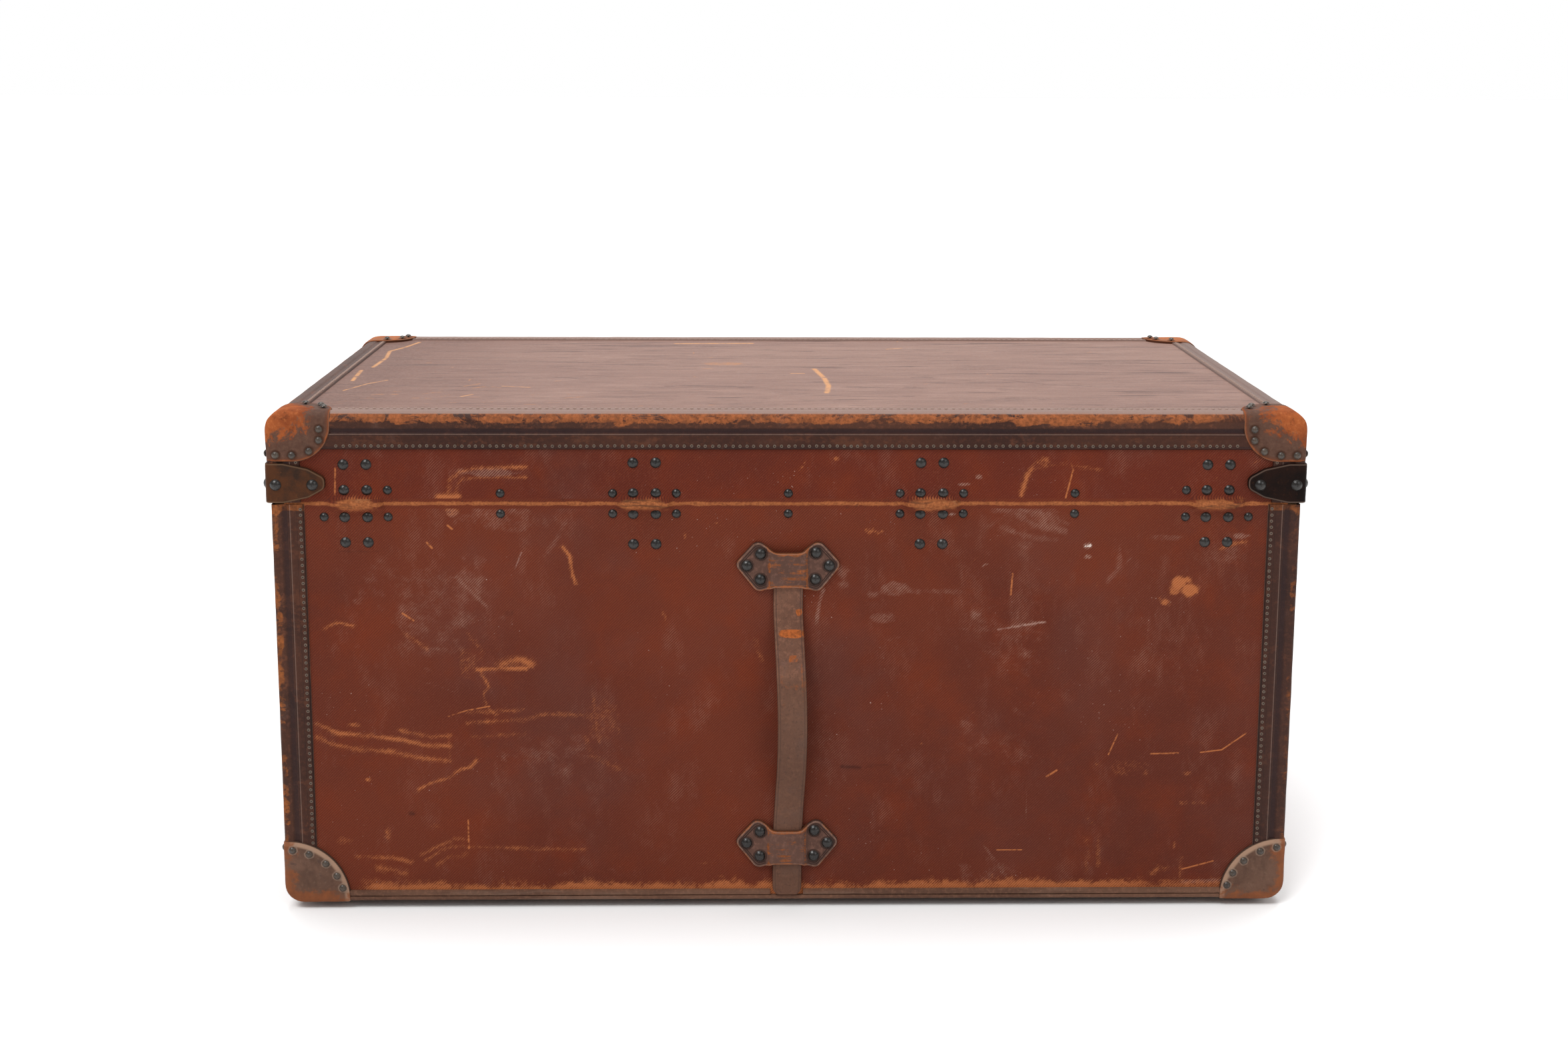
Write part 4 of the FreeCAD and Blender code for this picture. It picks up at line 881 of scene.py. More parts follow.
# Materials
LIGHT = 1.05          # how much light falls on the back, so that colours can be given as they look there
TWILL, TWILL_DRIFT = 0.0030, 0.0022     # metres from rib to rib, and how far they wander


def rgb(r, g, b):
    """Linear colour from the usual 0 to 255 values, less the light that will fall on it."""
    shares = [c / 255 for c in (r, g, b)]
    linear = [c / 12.92 if c <= 0.04045 else ((c + 0.055) / 1.055) ** 2.4 for c in shares]
    return (*[c / LIGHT for c in linear], 1.0)


class Look:
    """A node material whose colour and relief are built up layer by layer."""

    def __init__(self, name, base, roughness, specular, metallic=0.0):
        self.material = bpy.data.materials.new(name)
        self.material.use_nodes = True
        self.tree = self.material.node_tree
        self.tree.nodes.clear()
        output = self.node("ShaderNodeOutputMaterial")
        self.shader = self.node("ShaderNodeBsdfPrincipled")
        self.tree.links.new(self.shader.outputs["BSDF"], output.inputs["Surface"])
        self.shader.inputs["Roughness"].default_value = roughness
        self.shader.inputs["Specular IOR Level"].default_value = specular
        self.shader.inputs["Metallic"].default_value = metallic
        self.place = self.node("ShaderNodeTexCoord").outputs["Object"]
        self.colour = rgb(*base)
        self.normal = None

    def node(self, kind, values=(), **settings):
        """A new node; values are for its sockets, by name or number."""
        node = self.tree.nodes.new(kind)
        for key, value in settings.items():
            setattr(node, key, value)
        for socket, value in dict(values).items():
            self.put(node.inputs[socket], value)
        return node

    def put(self, socket, value):
        """Links or sets a socket."""
        if isinstance(value, bpy.types.NodeSocket):
            self.tree.links.new(value, socket)
        else:
            socket.default_value = value

    def vector(self, operation, values):
        return self.node("ShaderNodeVectorMath", values, operation=operation).outputs

    def math(self, operation, a, b=0.0):
        return self.node("ShaderNodeMath", {0: a, 1: b}, operation=operation).outputs[0]

    def add(self, a, b):
        return self.math("ADD", a, b)

    def mul(self, a, b):
        return self.math("MULTIPLY", a, b)

    def most(self, a, b):
        return self.math("MAXIMUM", a, b)

    def noise(self, scale, detail=3.0, rough=0.6, stretch=None, distortion=0.0):
        """Noise from 0 to 1; stretch multiplies its scale along x, y and z."""
        place = self.place
        if stretch:
            place = self.node("ShaderNodeMapping", {"Vector": place, "Scale": stretch}).outputs["Vector"]
        values = {"Vector": place, "Scale": scale, "Detail": detail, "Roughness": rough}
        return self.node("ShaderNodeTexNoise", {**values, "Distortion": distortion}).outputs["Fac"]

    def cells(self, scale):
        """Distance to the borders of small cells."""
        values = {"Vector": self.place, "Scale": scale}
        return self.node("ShaderNodeTexVoronoi", values, feature="DISTANCE_TO_EDGE").outputs["Distance"]

    def axis(self, index):
        return self.node("ShaderNodeSeparateXYZ", {0: self.place}).outputs[index]

    def mark(self, name):
        """A number that the mesh carries at its points."""
        return self.node("ShaderNodeAttribute", attribute_name=name).outputs["Fac"]

    def step(self, value, low, high, start=0.0, stop=1.0):
        """start where the value is at low, stop where it is at high, soft in between."""
        values = {"Value": value, "From Min": low, "From Max": high, "To Min": start, "To Max": stop}
        return self.node("ShaderNodeMapRange", values, interpolation_type="SMOOTHSTEP").outputs["Result"]

    def near(self, value, centre, reach):
        """1 at the centre, falling to 0 at the reach."""
        return self.step(self.math("ABSOLUTE", self.math("SUBTRACT", value, centre)), reach, reach * 0.3)

    def vary(self, value, noise, amount):
        """The value, raised and lowered by a noise that swings round one half."""
        return self.add(value, self.mul(self.math("SUBTRACT", noise, 0.5), amount))

    def mix(self, share, a, b):
        return self.node("ShaderNodeMix", {0: share, 6: a, 7: b}, data_type="RGBA").outputs[2]

    def tint(self, mask, colour, share=1.0):
        """Lays a colour over what is there; the colour is 0 to 255 values or a socket."""
        over = rgb(*colour) if isinstance(colour, tuple) else colour
        self.colour = self.mix(self.mul(mask, share), self.colour, over)

    def cover(self, value, low, high, colour, share=1.0):
        """Lays a colour where the value has passed from low to high."""
        self.tint(self.step(value, low, high), colour, share)

    def scratch(self, lines, broken):
        """Thin lines of points, width, colour and share, where a mask leaves them."""
        for points, width, colour, share in lines:
            self.tint(self.mul(self.line(points, width), broken), colour, share)

    def bump(self, height, strength, distance):
        values = {"Strength": strength, "Distance": distance, "Height": height}
        if self.normal:
            values["Normal"] = self.normal
        self.normal = self.node("ShaderNodeBump", values).outputs["Normal"]

    def twill(self):
        """Fine diagonal ribs that run up to the right on every face."""
        slope = self.math("SUBTRACT", self.add(self.axis(0), self.axis(1)), self.axis(2))
        drift = self.mul(self.noise(60.0, 2.0), TWILL_DRIFT)
        turn = self.mul(self.add(slope, drift), 2 * math.pi / TWILL)
        return self.step(self.math("SINE", turn), -1.0, 1.0)

    def line(self, points, width):
        """1 on a thin line through points in millimetres."""
        mask = None
        for a, b in zip(points[:-1], points[1:]):
            start, run = Vector(a) * MM, (Vector(b) - Vector(a)) * MM
            away = self.vector("SUBTRACT", {0: self.place, 1: start})[0]
            share = self.vector("DOT_PRODUCT", {0: away, 1: run / run.length_squared})["Value"]
            share = self.math("MINIMUM", self.most(share, 0.0), 1.0)
            foot = self.vector("SCALE", {0: run, "Scale": share})[0]
            off = self.vector("DISTANCE", {0: away, 1: foot})["Value"]
            here = self.step(off, width * MM, width * MM * 0.3)
            mask = here if mask is None else self.most(mask, here)
        return mask

    def done(self, roughness=None):
        """The finished material."""
        self.put(self.shader.inputs["Base Color"], self.colour)
        if self.normal:
            self.put(self.shader.inputs["Normal"], self.normal)
        if roughness is not None:
            self.put(self.shader.inputs["Roughness"], roughness)
        return self.material


def rub(look, name, noises, soft, shares, colour, broken=None):
    """Wear in a marked place: it catches the high spots of the noises first, and strong marks cover more."""
    mark = look.mark(name)
    amount = mark
    for noise, weight in noises:
        amount = look.vary(amount, noise, weight)
    mask = look.mul(look.step(amount, 0.5 - soft, 0.5 + soft), look.step(mark, 0.0, 0.1))
    if broken is not None:
        mask = look.mul(mask, broken)
    look.tint(look.mul(mask, look.step(mark, 0.3, 0.95, *shares)), colour)
    return mask


def canvas_look(name, base, deep, lines):
    """Twill with dark ribs, stains, dust and paint, and tan wear that starts on the high ribs; painted shade
    makes it darker towards the bottom, and the dark marks also hold painted shade along the rim.
    """
    look = Look(name, base, 0.8, 0.1)
    warm = (121, 51, 26)
    ragged, grain = look.noise(60.0, 4.0, 0.7), look.noise(240.0, 3.0, 0.7)
    stipple, blotch = look.noise(700.0, 2.0, 0.7), look.noise(14.0, 5.0, 0.65)
    rib = look.twill()
    hatch = look.step(look.vary(rib, grain, 1.2), 0.3, 0.8)
    look.cover(look.noise(3.2, 4.0), 0.35, 0.65, deep)
    look.cover(blotch, 0.42, 0.78, warm, 0.6)
    look.cover(look.noise(5.5, 4.0, 0.65), 0.48, 0.7, (98, 60, 52), 0.34)
    # Painted shade: darker towards the bottom
    look.cover(look.axis(2), 0.42, 0.02, deep, 0.12)
    look.cover(rib, 0.45, 0.0, (54, 24, 23), 0.5)
    look.cover(stipple, 0.5, 0.8, (150, 92, 70), 0.24)
    pale = look.step(look.noise(26.0, 5.0, 0.75, (1.0, 1.0, 0.5)), 0.5, 0.8)
    look.tint(look.mul(pale, hatch), (160, 116, 100), 0.3)
    # Dark marks: stains, and painted shade along the rim's gap and under a hinge leaf
    rub(look, "dark", ((ragged, 0.8), (grain, 0.7)), 0.4, (0.4, 0.65), (50, 24, 19))
    white = look.mark("white")
    dust = look.step(look.vary(look.vary(white, ragged, 0.9), blotch, 0.7), 0.2, 0.8)
    look.tint(look.mul(dust, look.add(look.mul(hatch, 0.4), 0.04)), (182, 146, 130))
    look.cover(look.vary(look.vary(white, grain, 0.9), ragged, 0.5), 0.84, 0.98, (220, 202, 192), 0.8)
    worn = look.step(look.vary(rib, stipple, 0.8), 0.0, 0.6, 0.55, 1.0)
    rub(look, "tan", ((ragged, 0.9), (grain, 0.9), (rib, 0.3)), 0.34, (0.5, 0.95), (176, 104, 62), worn)
    look.scratch(lines, look.step(look.vary(ragged, grain, 0.5), 0.3, 0.55))
    fleck = look.step(look.noise(420.0, 1.0, 0.5), 0.755, 0.785)
    look.tint(look.mul(fleck, look.step(look.noise(9.0, 2.0), 0.5, 0.65)), (196, 168, 156), 0.7)
    look.bump(look.add(look.mul(rib, 0.6), look.mul(stipple, 0.6)), 0.5, 0.00022)
    look.bump(look.noise(22.0, 3.0), 0.3, 0.0020)
    return look.done(look.step(blotch, 0.3, 0.8, 0.72, 0.86))


def lid_top_look(lines):
    """The lid's top: faded and rubbed pale, with a painted pale sheen over it, and fine dark wrinkles along
    it.
    """
    # The pale base colour stands partly for faded cloth and partly for a painted sheen that the top catches
    look = Look("lid_top_canvas", (139, 106, 93), 0.55, 0.2)
    look.shader.inputs["Sheen Weight"].default_value = 0.06
    look.shader.inputs["Sheen Roughness"].default_value = 0.45
    ragged, grain = look.noise(60.0, 4.0, 0.7), look.noise(300.0, 3.0, 0.7)
    look.cover(look.noise(4.0, 4.0, 0.6, (0.5, 1.0, 1.0)), 0.35, 0.65, (128, 95, 84), 0.8)
    look.cover(look.noise(20.0, 5.0, 0.7, (0.35, 1.0, 1.0)), 0.45, 0.75, (155, 120, 106), 0.5)
    look.cover(grain, 0.45, 0.75, (166, 133, 119), 0.35)
    streaks = look.noise(90.0, 4.0, 0.7, (0.14, 1.0, 1.0))
    look.cover(streaks, 0.5, 0.64, (110, 79, 69), 0.34)
    look.cover(streaks, 0.44, 0.32, (172, 140, 126), 0.28)
    look.cover(look.noise(420.0, 3.0, 0.75), 0.5, 0.7, (104, 74, 66), 0.3)
    look.cover(look.vary(look.axis(0), ragged, 0.1), -0.26, -0.48, (108, 72, 60), 0.55)
    for scale, share in ((34.0, 0.72), (76.0, 0.7)):
        wrinkle = look.noise(scale, 5.0, 0.74, (0.14, 1.5, 1.0), 0.3)
        look.cover(wrinkle, 0.57, 0.66, (88, 61, 54), share)
    rub(look, "dark", ((ragged, 0.6), (grain, 0.7)), 0.3, (0.6, 0.85), (78, 52, 44))
    rub(look, "white", ((ragged, 0.6), (grain, 0.9)), 0.3, (0.4, 0.6), (196, 172, 156))
    rub(look, "tan", ((ragged, 0.6), (grain, 0.8)), 0.3, (0.7, 0.9), (188, 124, 70))
    look.scratch(lines, look.step(ragged, 0.3, 0.55))
    look.bump(look.noise(60.0, 5.0, 0.7, (0.2, 1.3, 1.0)), 0.35, 0.0007)
    look.bump(look.twill(), 0.25, 0.0002)
    return look.done(look.step(grain, 0.3, 0.8, 0.5, 0.68))


def leather(name, base, dark, orange, wear, mottle, threshold):
    """Leather with a grain, rubbed through to an orange colour where wear, a function of the look, is high.

    Mottle is how ragged the rubbed places are. Gives the look, its fine noise and the mask of the rubs."""
    look = Look(name, base, 0.55, 0.12)
    mottled, fine = look.noise(38.0, 6.0, 0.68, distortion=0.6), look.noise(210.0, 4.0, 0.7)
    look.cover(look.noise(9.0, 4.0), 0.35, 0.65, dark, 0.8)
    look.cover(fine, 0.45, 0.75, tuple(min(c * 1.35, 255) for c in base), 0.5)
    amount = look.vary(look.vary(wear(look), mottled, mottle), fine, 0.5)
    rubbed = look.step(amount, threshold - 0.1, threshold + 0.1)
    low = tuple(c * 0.7 for c in orange)
    look.tint(rubbed, look.mix(look.step(fine, 0.3, 0.7), rgb(*orange), rgb(*low)))
    height = look.add(look.mul(look.step(look.cells(620.0), 0.0, 0.25), 0.35), look.noise(120.0, 5.0, 0.7))
    look.bump(look.add(height, look.mul(rubbed, -0.3)), 0.5, 0.0005)
    return look, fine, rubbed


def edging_look(name, base, dark, orange, bands):
    """The edging: a rubbed roll with dull patches, scars and scuffs, and bands along its groove and lines,
    which are painted shade and painted highlight; its legs on the lid's top get a painted pale sheen.
    """
    def wear(k):
        right = k.step(k.axis(0), 0.40, 0.53, 0.0, -0.1)
        ends = k.step(k.math("ABSOLUTE", k.axis(0)), 0.425, 0.47, 0.0, -0.16)
        ends = k.mul(ends, k.mul(k.step(k.axis(2), 0.47, 0.5), k.step(k.mark("across"), 101.0, 99.0)))
        patches = k.mul(k.step(k.noise(16.0, 3.0, 0.6), 0.56, 0.68), 0.3)
        dull = k.mul(k.step(k.noise(24.0, 6.0, 0.78, (0.5, 1.0, 1.6), 0.9), 0.5, 0.62), -0.34)
        return k.add(k.add(k.mul(k.mark("wear"), 0.85), patches), k.add(dull, k.add(right, ends)))
    look, fine, rubbed = leather(name, base, dark, orange, wear, 1.6, 0.56)
    scars = look.step(look.vary(look.noise(80.0, 6.0, 0.78, (0.6, 1.0, 1.4), 0.5), fine, 0.3), 0.55, 0.66)
    look.tint(look.mul(scars, rubbed), (58, 36, 33), 0.8)
    scuffs = look.step(look.vary(look.noise(34.0, 6.0, 0.75, (0.6, 1.0, 1.4), 0.4), fine, 0.4), 0.52, 0.64)
    look.tint(scuffs, (112, 66, 44), 0.42)
    look.cover(look.noise(50.0, 4.0, 0.7, distortion=0.2), 0.56, 0.72, (104, 80, 72), 0.2)
    look.cover(look.axis(0), 0.44, 0.5, (44, 30, 29), 0.34)
    across = look.mark("across")
    flat = look.mul(look.step(across, 19.0, 23.0), look.step(across, 60.0, 50.0))
    look.tint(flat, (50, 26, 20), 0.36)
    # Bands of painted shade in the groove, painted highlights on the ridges, and dark crease lines that are
    # partly painted shade
    for centre, width, share, colour in bands:
        broken = look.step(fine, 0.25, 0.5, share * 0.6, share)
        look.tint(look.mul(look.near(across, centre, width), broken), colour)
    # Painted sheen: a pale haze over the edging's legs on the lid's top, weaker at both ends
    sheen_at_right = look.step(look.axis(0), 0.505, 0.512, 0.0, -0.3)
    sheen_at_left = look.step(look.axis(0), -0.505, -0.512, 0.8, 0.06)
    look.tint(look.mul(look.step(across, 100.5, 104.0), look.add(sheen_at_right, sheen_at_left)), (150, 124, 114))
    return look.done(look.step(look.vary(rubbed, fine, 0.6), 0.0, 1.0, 0.44, 0.78))


def lid_cap_look():
    """Orange leather gone fluffy, with bare dark skin in it, a dark ring at each rivet and a pale rim;
    the tops of the front caps get a painted pale sheen.
    """
    look = Look("worn_cap_leather", (160, 86, 46), 0.85, 0.1)
    edge, rivet, corner = look.mark("edge"), look.mark("rivet"), look.mark("corner")
    mottled, fine = look.noise(30.0, 6.0, 0.68, distortion=0.5), look.noise(240.0, 4.0, 0.7)
    look.cover(mottled, 0.35, 0.65, (124, 62, 34))
    look.cover(fine, 0.5, 0.8, (200, 124, 72), 0.5)
    look.cover(look.noise(90.0, 4.0, 0.75), 0.56, 0.7, (86, 44, 28), 0.6)
    low_down = look.step(look.axis(2), 0.550, 0.505, 0.0, 0.16)
    off_corner = look.step(corner, 18.0, 50.0, 0.0, 0.2)
    by_place = look.add(look.add(low_down, off_corner), look.mul(look.near(edge, 8.0, 9.0), 0.09))
    amount = look.vary(look.add(by_place, look.noise(26.0, 5.0, 0.7, distortion=0.8)), fine, 0.4)
    amount = look.add(amount, look.step(look.axis(1), -0.1, 0.1, 0.0, -0.1))
    bare = look.mul(look.step(amount, 0.62, 0.74), look.step(edge, 0.5, 4.0))
    look.tint(bare, look.mix(fine, rgb(52, 35, 30), rgb(100, 76, 64)), 0.92)
    # Painted sheen: the tops of the front caps are laid over with a paler orange
    on_top = look.step(look.axis(2), 0.548, 0.552)
    look.tint(look.mul(look.step(look.axis(1), 0.0, 0.2), on_top), (186, 122, 84), 0.45)
    look.tint(look.near(rivet, 4.8, 1.6), (70, 44, 33), 0.7)
    look.tint(look.near(edge, 3.4, 2.4), (92, 56, 40), look.step(mottled, 0.35, 0.6, 0.2, 0.7))
    look.cover(edge, 1.6, 0.4, (62, 36, 26), 0.9)
    look.tint(look.near(edge, 0.8, 0.6), (170, 132, 106), look.step(mottled, 0.4, 0.6, 0.0, 0.35))
    look.bump(look.add(look.noise(150.0, 6.0, 0.72), look.mul(bare, -0.3)), 0.75, 0.0007)
    return look.done(look.step(bare, 0.0, 1.0, 0.88, 0.58))


def body_cap_look():
    """Grey-brown leather, pale along its rim and rusty on its ridges."""
    look = Look("grey_cap_leather", (104, 76, 62), 0.62, 0.12)
    edge, rivet, ridge = look.mark("edge"), look.mark("rivet"), look.mark("ridge")
    mottled, fine = look.noise(28.0, 6.0, 0.68, distortion=0.4), look.noise(260.0, 4.0, 0.7)
    look.cover(mottled, 0.35, 0.65, (82, 59, 48))
    look.cover(look.noise(55.0, 4.0, 0.7), 0.58, 0.68, (66, 52, 48), 0.6)
    look.cover(fine, 0.5, 0.8, (126, 100, 84), 0.45)
    look.tint(look.near(edge, 2.6, 4.4), (160, 128, 106), look.step(mottled, 0.2, 0.5, 0.5, 0.9))
    worn = look.vary(look.vary(look.step(ridge, 34.0, 0.0), mottled, 2.6), fine, 0.9)
    rust = look.mix(look.noise(70.0, 4.0, 0.7), rgb(158, 90, 50), rgb(86, 52, 36))
    look.cover(worn, 0.5, 0.95, rust, 0.85)
    look.tint(look.near(rivet, 4.9, 1.3), (150, 128, 112), 0.5)
    look.cover(edge, 0.9, 0.2, (48, 32, 26), 0.85)
    look.bump(look.noise(170.0, 6.0, 0.7), 0.5, 0.0006)
    return look.done(look.step(fine, 0.2, 0.8, 0.52, 0.7))


def handle_look():
    """The winged loops: two incised lines inside the edge, orange wear over the raised middle, and a painted
    highlight along the rim.
    """
    def wear(k):
        rise = k.mark("rise")
        crest = k.step(rise, 0.25, 0.9, 0.0, 0.18)
        sides = k.mul(k.near(rise, 0.5, 0.45), 0.34)
        streaks = k.mul(k.step(k.noise(90.0, 4.0, 0.7, (0.3, 1.0, 3.2)), 0.45, 0.6), k.mul(crest, 1.7))
        rim = k.step(k.mark("edge"), 4.0, 0.8, 0.0, 0.5)
        return k.add(k.add(sides, rim), k.add(crest, streaks))
    look, fine, _ = leather("handle_leather", (98, 70, 60), (76, 52, 43), (152, 86, 47), wear, 1.3, 0.52)
    edge, flat = look.mark("edge"), look.step(look.mark("rise"), 0.35, 0.05)
    for centre in (3.4, 5.3):
        look.tint(look.mul(look.near(edge, centre, 0.9), flat), (40, 26, 22), 0.85)
    # Painted highlight: a pale line just inside the loop's edge
    look.tint(look.near(edge, 1.3, 0.8), (158, 128, 112), look.step(fine, 0.35, 0.65, 0.1, 0.5))
    look.tint(look.near(look.mark("rivet"), 6.9, 1.3), (46, 32, 27), 0.7)
    look.cover(edge, 0.6, 0.1, (52, 34, 27), 0.7)
    return look.done(look.step(fine, 0.2, 0.8, 0.46, 0.62))


def strap_look():
    """The straps: grey-brown with short orange bands where they have been bent and rubbed."""
    def wear(k):
        rim = k.step(k.mark("edge"), 1.8, 0.2, 0.0, 0.3)
        return k.add(rim, k.mul(k.mark("rub"), 0.85))
    look, fine, _ = leather("strap_leather", (112, 78, 62), (92, 62, 49), (184, 98, 46), wear, 0.9, 0.54)
    edge = look.mark("edge")
    look.tint(look.near(edge, 2.8, 1.1), (66, 46, 40), 0.55)
    look.cover(look.noise(16.0, 4.0, 0.65), 0.52, 0.66, (98, 78, 72), 0.5)
    lower = look.step(look.axis(2), 0.272, 0.258)
    look.tint(look.vary(lower, fine, 0.5), (88, 62, 49), 0.5)
    look.cover(look.noise(360.0, 3.0, 0.7), 0.52, 0.7, (70, 50, 42), 0.5)
    look.cover(edge, 0.7, 0.1, (60, 42, 34), 0.6)
    return look.done(look.step(fine, 0.2, 0.8, 0.5, 0.66))


def strip_look():
    """The thin strips along the lower edge, with pale streaks along them."""
    def wear(k):
        return k.mul(k.mark("wear"), 0.5)
    look, fine, _ = leather("strip_leather", (108, 77, 61), (84, 58, 46), (152, 90, 56), wear, 1.1, 0.56)
    look.cover(look.noise(60.0, 4.0, 0.7, (0.1, 0.1, 1.6)), 0.55, 0.7, (126, 102, 88), 0.35)
    return look.done(look.step(fine, 0.2, 0.8, 0.5, 0.66))


def seam_look(base, deep):
    """The canvas over the seam: the same cloth, worn to a tan line and to smears over the hinges."""
    look = Look("seam_canvas", base, 0.8, 0.1)
    rib, fine, mottled = look.twill(), look.noise(380.0, 4.0, 0.75), look.noise(60.0, 5.0, 0.7)
    streak = look.noise(70.0, 5.0, 0.75, (0.3, 1.0, 2.2), 0.5)
    look.cover(look.noise(3.2, 4.0), 0.35, 0.65, deep)
    look.cover(rib, 0.45, 0.0, (56, 26, 25), 0.42)
    smear = look.mark("hinge")
    over_hinge = look.step(smear, 0.2, 0.6)
    line = look.step(look.mark("seam"), 4.2, 0.6)
    amount = look.most(look.mul(line, 0.66), look.mul(smear, 0.9))
    worn = look.step(look.vary(look.vary(amount, mottled, 1.1), fine, 1.0), 0.3, 0.62)
    look.tint(worn, look.mix(look.step(fine, 0.3, 0.7), rgb(178, 108, 64), rgb(122, 68, 40)), 0.88)
    look.tint(look.mul(look.step(streak, 0.5, 0.6), over_hinge), (92, 56, 37), 0.8)
    look.tint(look.mul(look.step(streak, 0.42, 0.34), over_hinge), (156, 112, 76), 0.6)
    look.cover(look.noise(150.0, 3.0, 0.7), 0.6, 0.7, (70, 36, 26), 0.45)
    look.bump(look.noise(600.0, 3.0, 0.7), 0.8, 0.0004)
    return look.done()


def metal_look(name, base, dark, rust, roughness, metallic=0.0, scale=90.0, specular=0.5, rim=None):
    """Mottled metal with rust or dust in it, and, where one is given, a rim of another colour that is a
    painted edge highlight.
    """
    look = Look(name, base, roughness, specular, metallic)
    mottled, fine = look.noise(scale, 5.0, 0.65), look.noise(scale * 7, 4.0, 0.7)
    look.cover(mottled, 0.35, 0.65, dark)
    look.cover(fine, 0.55, 0.75, rust, 0.55)
    # Painted highlight along the plate's edge
    if rim:
        look.tint(look.near(look.mark("edge"), 1.0, 1.0), rim, 0.6)
    look.bump(look.add(mottled, look.mul(fine, 0.4)), 0.35, 0.0006)
    return look.done(look.step(fine, 0.3, 0.7, roughness - 0.1, roughness + 0.15))


def wood_look(name, base, dark, along):
    """Wood with its grain along an axis; where two are given, the second is for what lies at the ends."""
    look = Look(name, base, 0.6, 0.2)
    grains = []
    for axis in along:
        stretch = tuple(0.8 if i == axis else 14.0 for i in range(3))
        grains.append((look.noise(60.0, 4.0, 0.7, stretch), look.noise(9.0, 6.0, 0.6, stretch, 0.3)))
    fibre, rings = grains[0]
    if len(grains) > 1:
        at_end = look.step(look.math("ABSOLUTE", look.axis(0)), 0.5224, 0.5236)
        fibre, rings = (look.mix(at_end, a, b) for a, b in zip(*grains))
    look.cover(rings, 0.35, 0.65, dark)
    look.cover(fibre, 0.55, 0.75, dark, 0.4)
    look.bump(fibre, 0.3, 0.0004)
    return look.done()


def lining_look():
    """Stained plain-woven cloth."""
    look = Look("lining_cloth", (176, 160, 134), 0.85, 0.12)
    threads = 3600.0       # radians to a metre
    warp, weft = (look.math("SINE", look.mul(look.add(look.axis(i), look.axis(1)), threads)) for i in (0, 2))
    weave = look.mul(warp, weft)
    look.cover(look.noise(5.0, 6.0, 0.72), 0.4, 0.75, (154, 136, 109), 0.8)
    look.cover(look.noise(60.0, 5.0, 0.75), 0.6, 0.7, (132, 112, 86), 0.35)
    look.cover(weave, 0.2, 1.0, (120, 104, 82), 0.25)
    look.bump(weave, 0.25, 0.0002)
    look.bump(look.noise(30.0, 3.0), 0.3, 0.002)
    return look.done()


def eyelet_look(name, colour, other, above):
    """The small nails: those on the lid's top get the same painted pale sheen as the leather round them."""
    look = Look(name, colour, 0.5, 0.3)
    look.tint(look.noise(300.0, 2.0), other)
    # Painted sheen: nails on the lid's top are laid over with a paler colour
    look.cover(look.axis(2), 0.5488, 0.5502, above, 0.85)
    return look.done()


# Marks on the canvas, placed where the picture shows them
PIXEL = 0.7166                                   # millimetres to a pixel of the picture, on the back
MIDDLE_COLUMN, FLOOR_ROW = 1179.5, 1381.859      # where the picture shows x = 0 and z = 0
VANISH_COLUMN, VANISH_ROW = 1136.0, 6.5          # where the lid's two short edges meet
EDGE_ROWS, EDGE_Y, DISTANCE = 606.0, 283.0, 2343.0   # near edge of the lid: rows below that point, y, depth


def from_photo(x, y):
    """A place on the back, in millimetres, from where the picture shows it."""
    return (x - MIDDLE_COLUMN) * PIXEL, (FLOOR_ROW - y) * PIXEL


def on_back(x, y):
    """The same as a point in space."""
    across, up = from_photo(x, y)
    return across, -HALF_Y - CANVAS, up


def on_lid(x, y):
    """A place on the lid's top from where the picture shows it."""
    share = (y - VANISH_ROW) / EDGE_ROWS
    across = (x - VANISH_COLUMN) / share + VANISH_COLUMN - MIDDLE_COLUMN
    return across * PIXEL, DISTANCE * (1 / share - 1) - EDGE_Y, TOP_Z + CANVAS


def strokes(flat, lines):
    """The strongest of several strokes of points, width and strength, which fall off past their width."""
    total = np.zeros(len(flat))
    for line, width, strength in lines:
        points = np.array([from_photo(*p) for p in line])
        away = np.full(len(flat), 1e9)
        for start, stop in zip(points[:-1], points[1:]):
            away = np.minimum(away, to_segment(flat, start, stop))
        total = np.maximum(total, strength * smooth(width * 1.2, width * -0.1, away))
    return total


def blots(flat, ragged, places):
    """The strongest of several uneven ovals, each of middle, half sizes in pixels and strength."""
    total = np.zeros(len(flat))
    for x, y, half_x, half_y, strength in places:
        across, up = from_photo(x, y)
        away = np.hypot((flat[:, 0] - across) / (half_x * PIXEL), (flat[:, 1] - up) / (half_y * PIXEL))
        total = np.maximum(total, strength * smooth(1.25, 0.45, away + ragged))
    return total


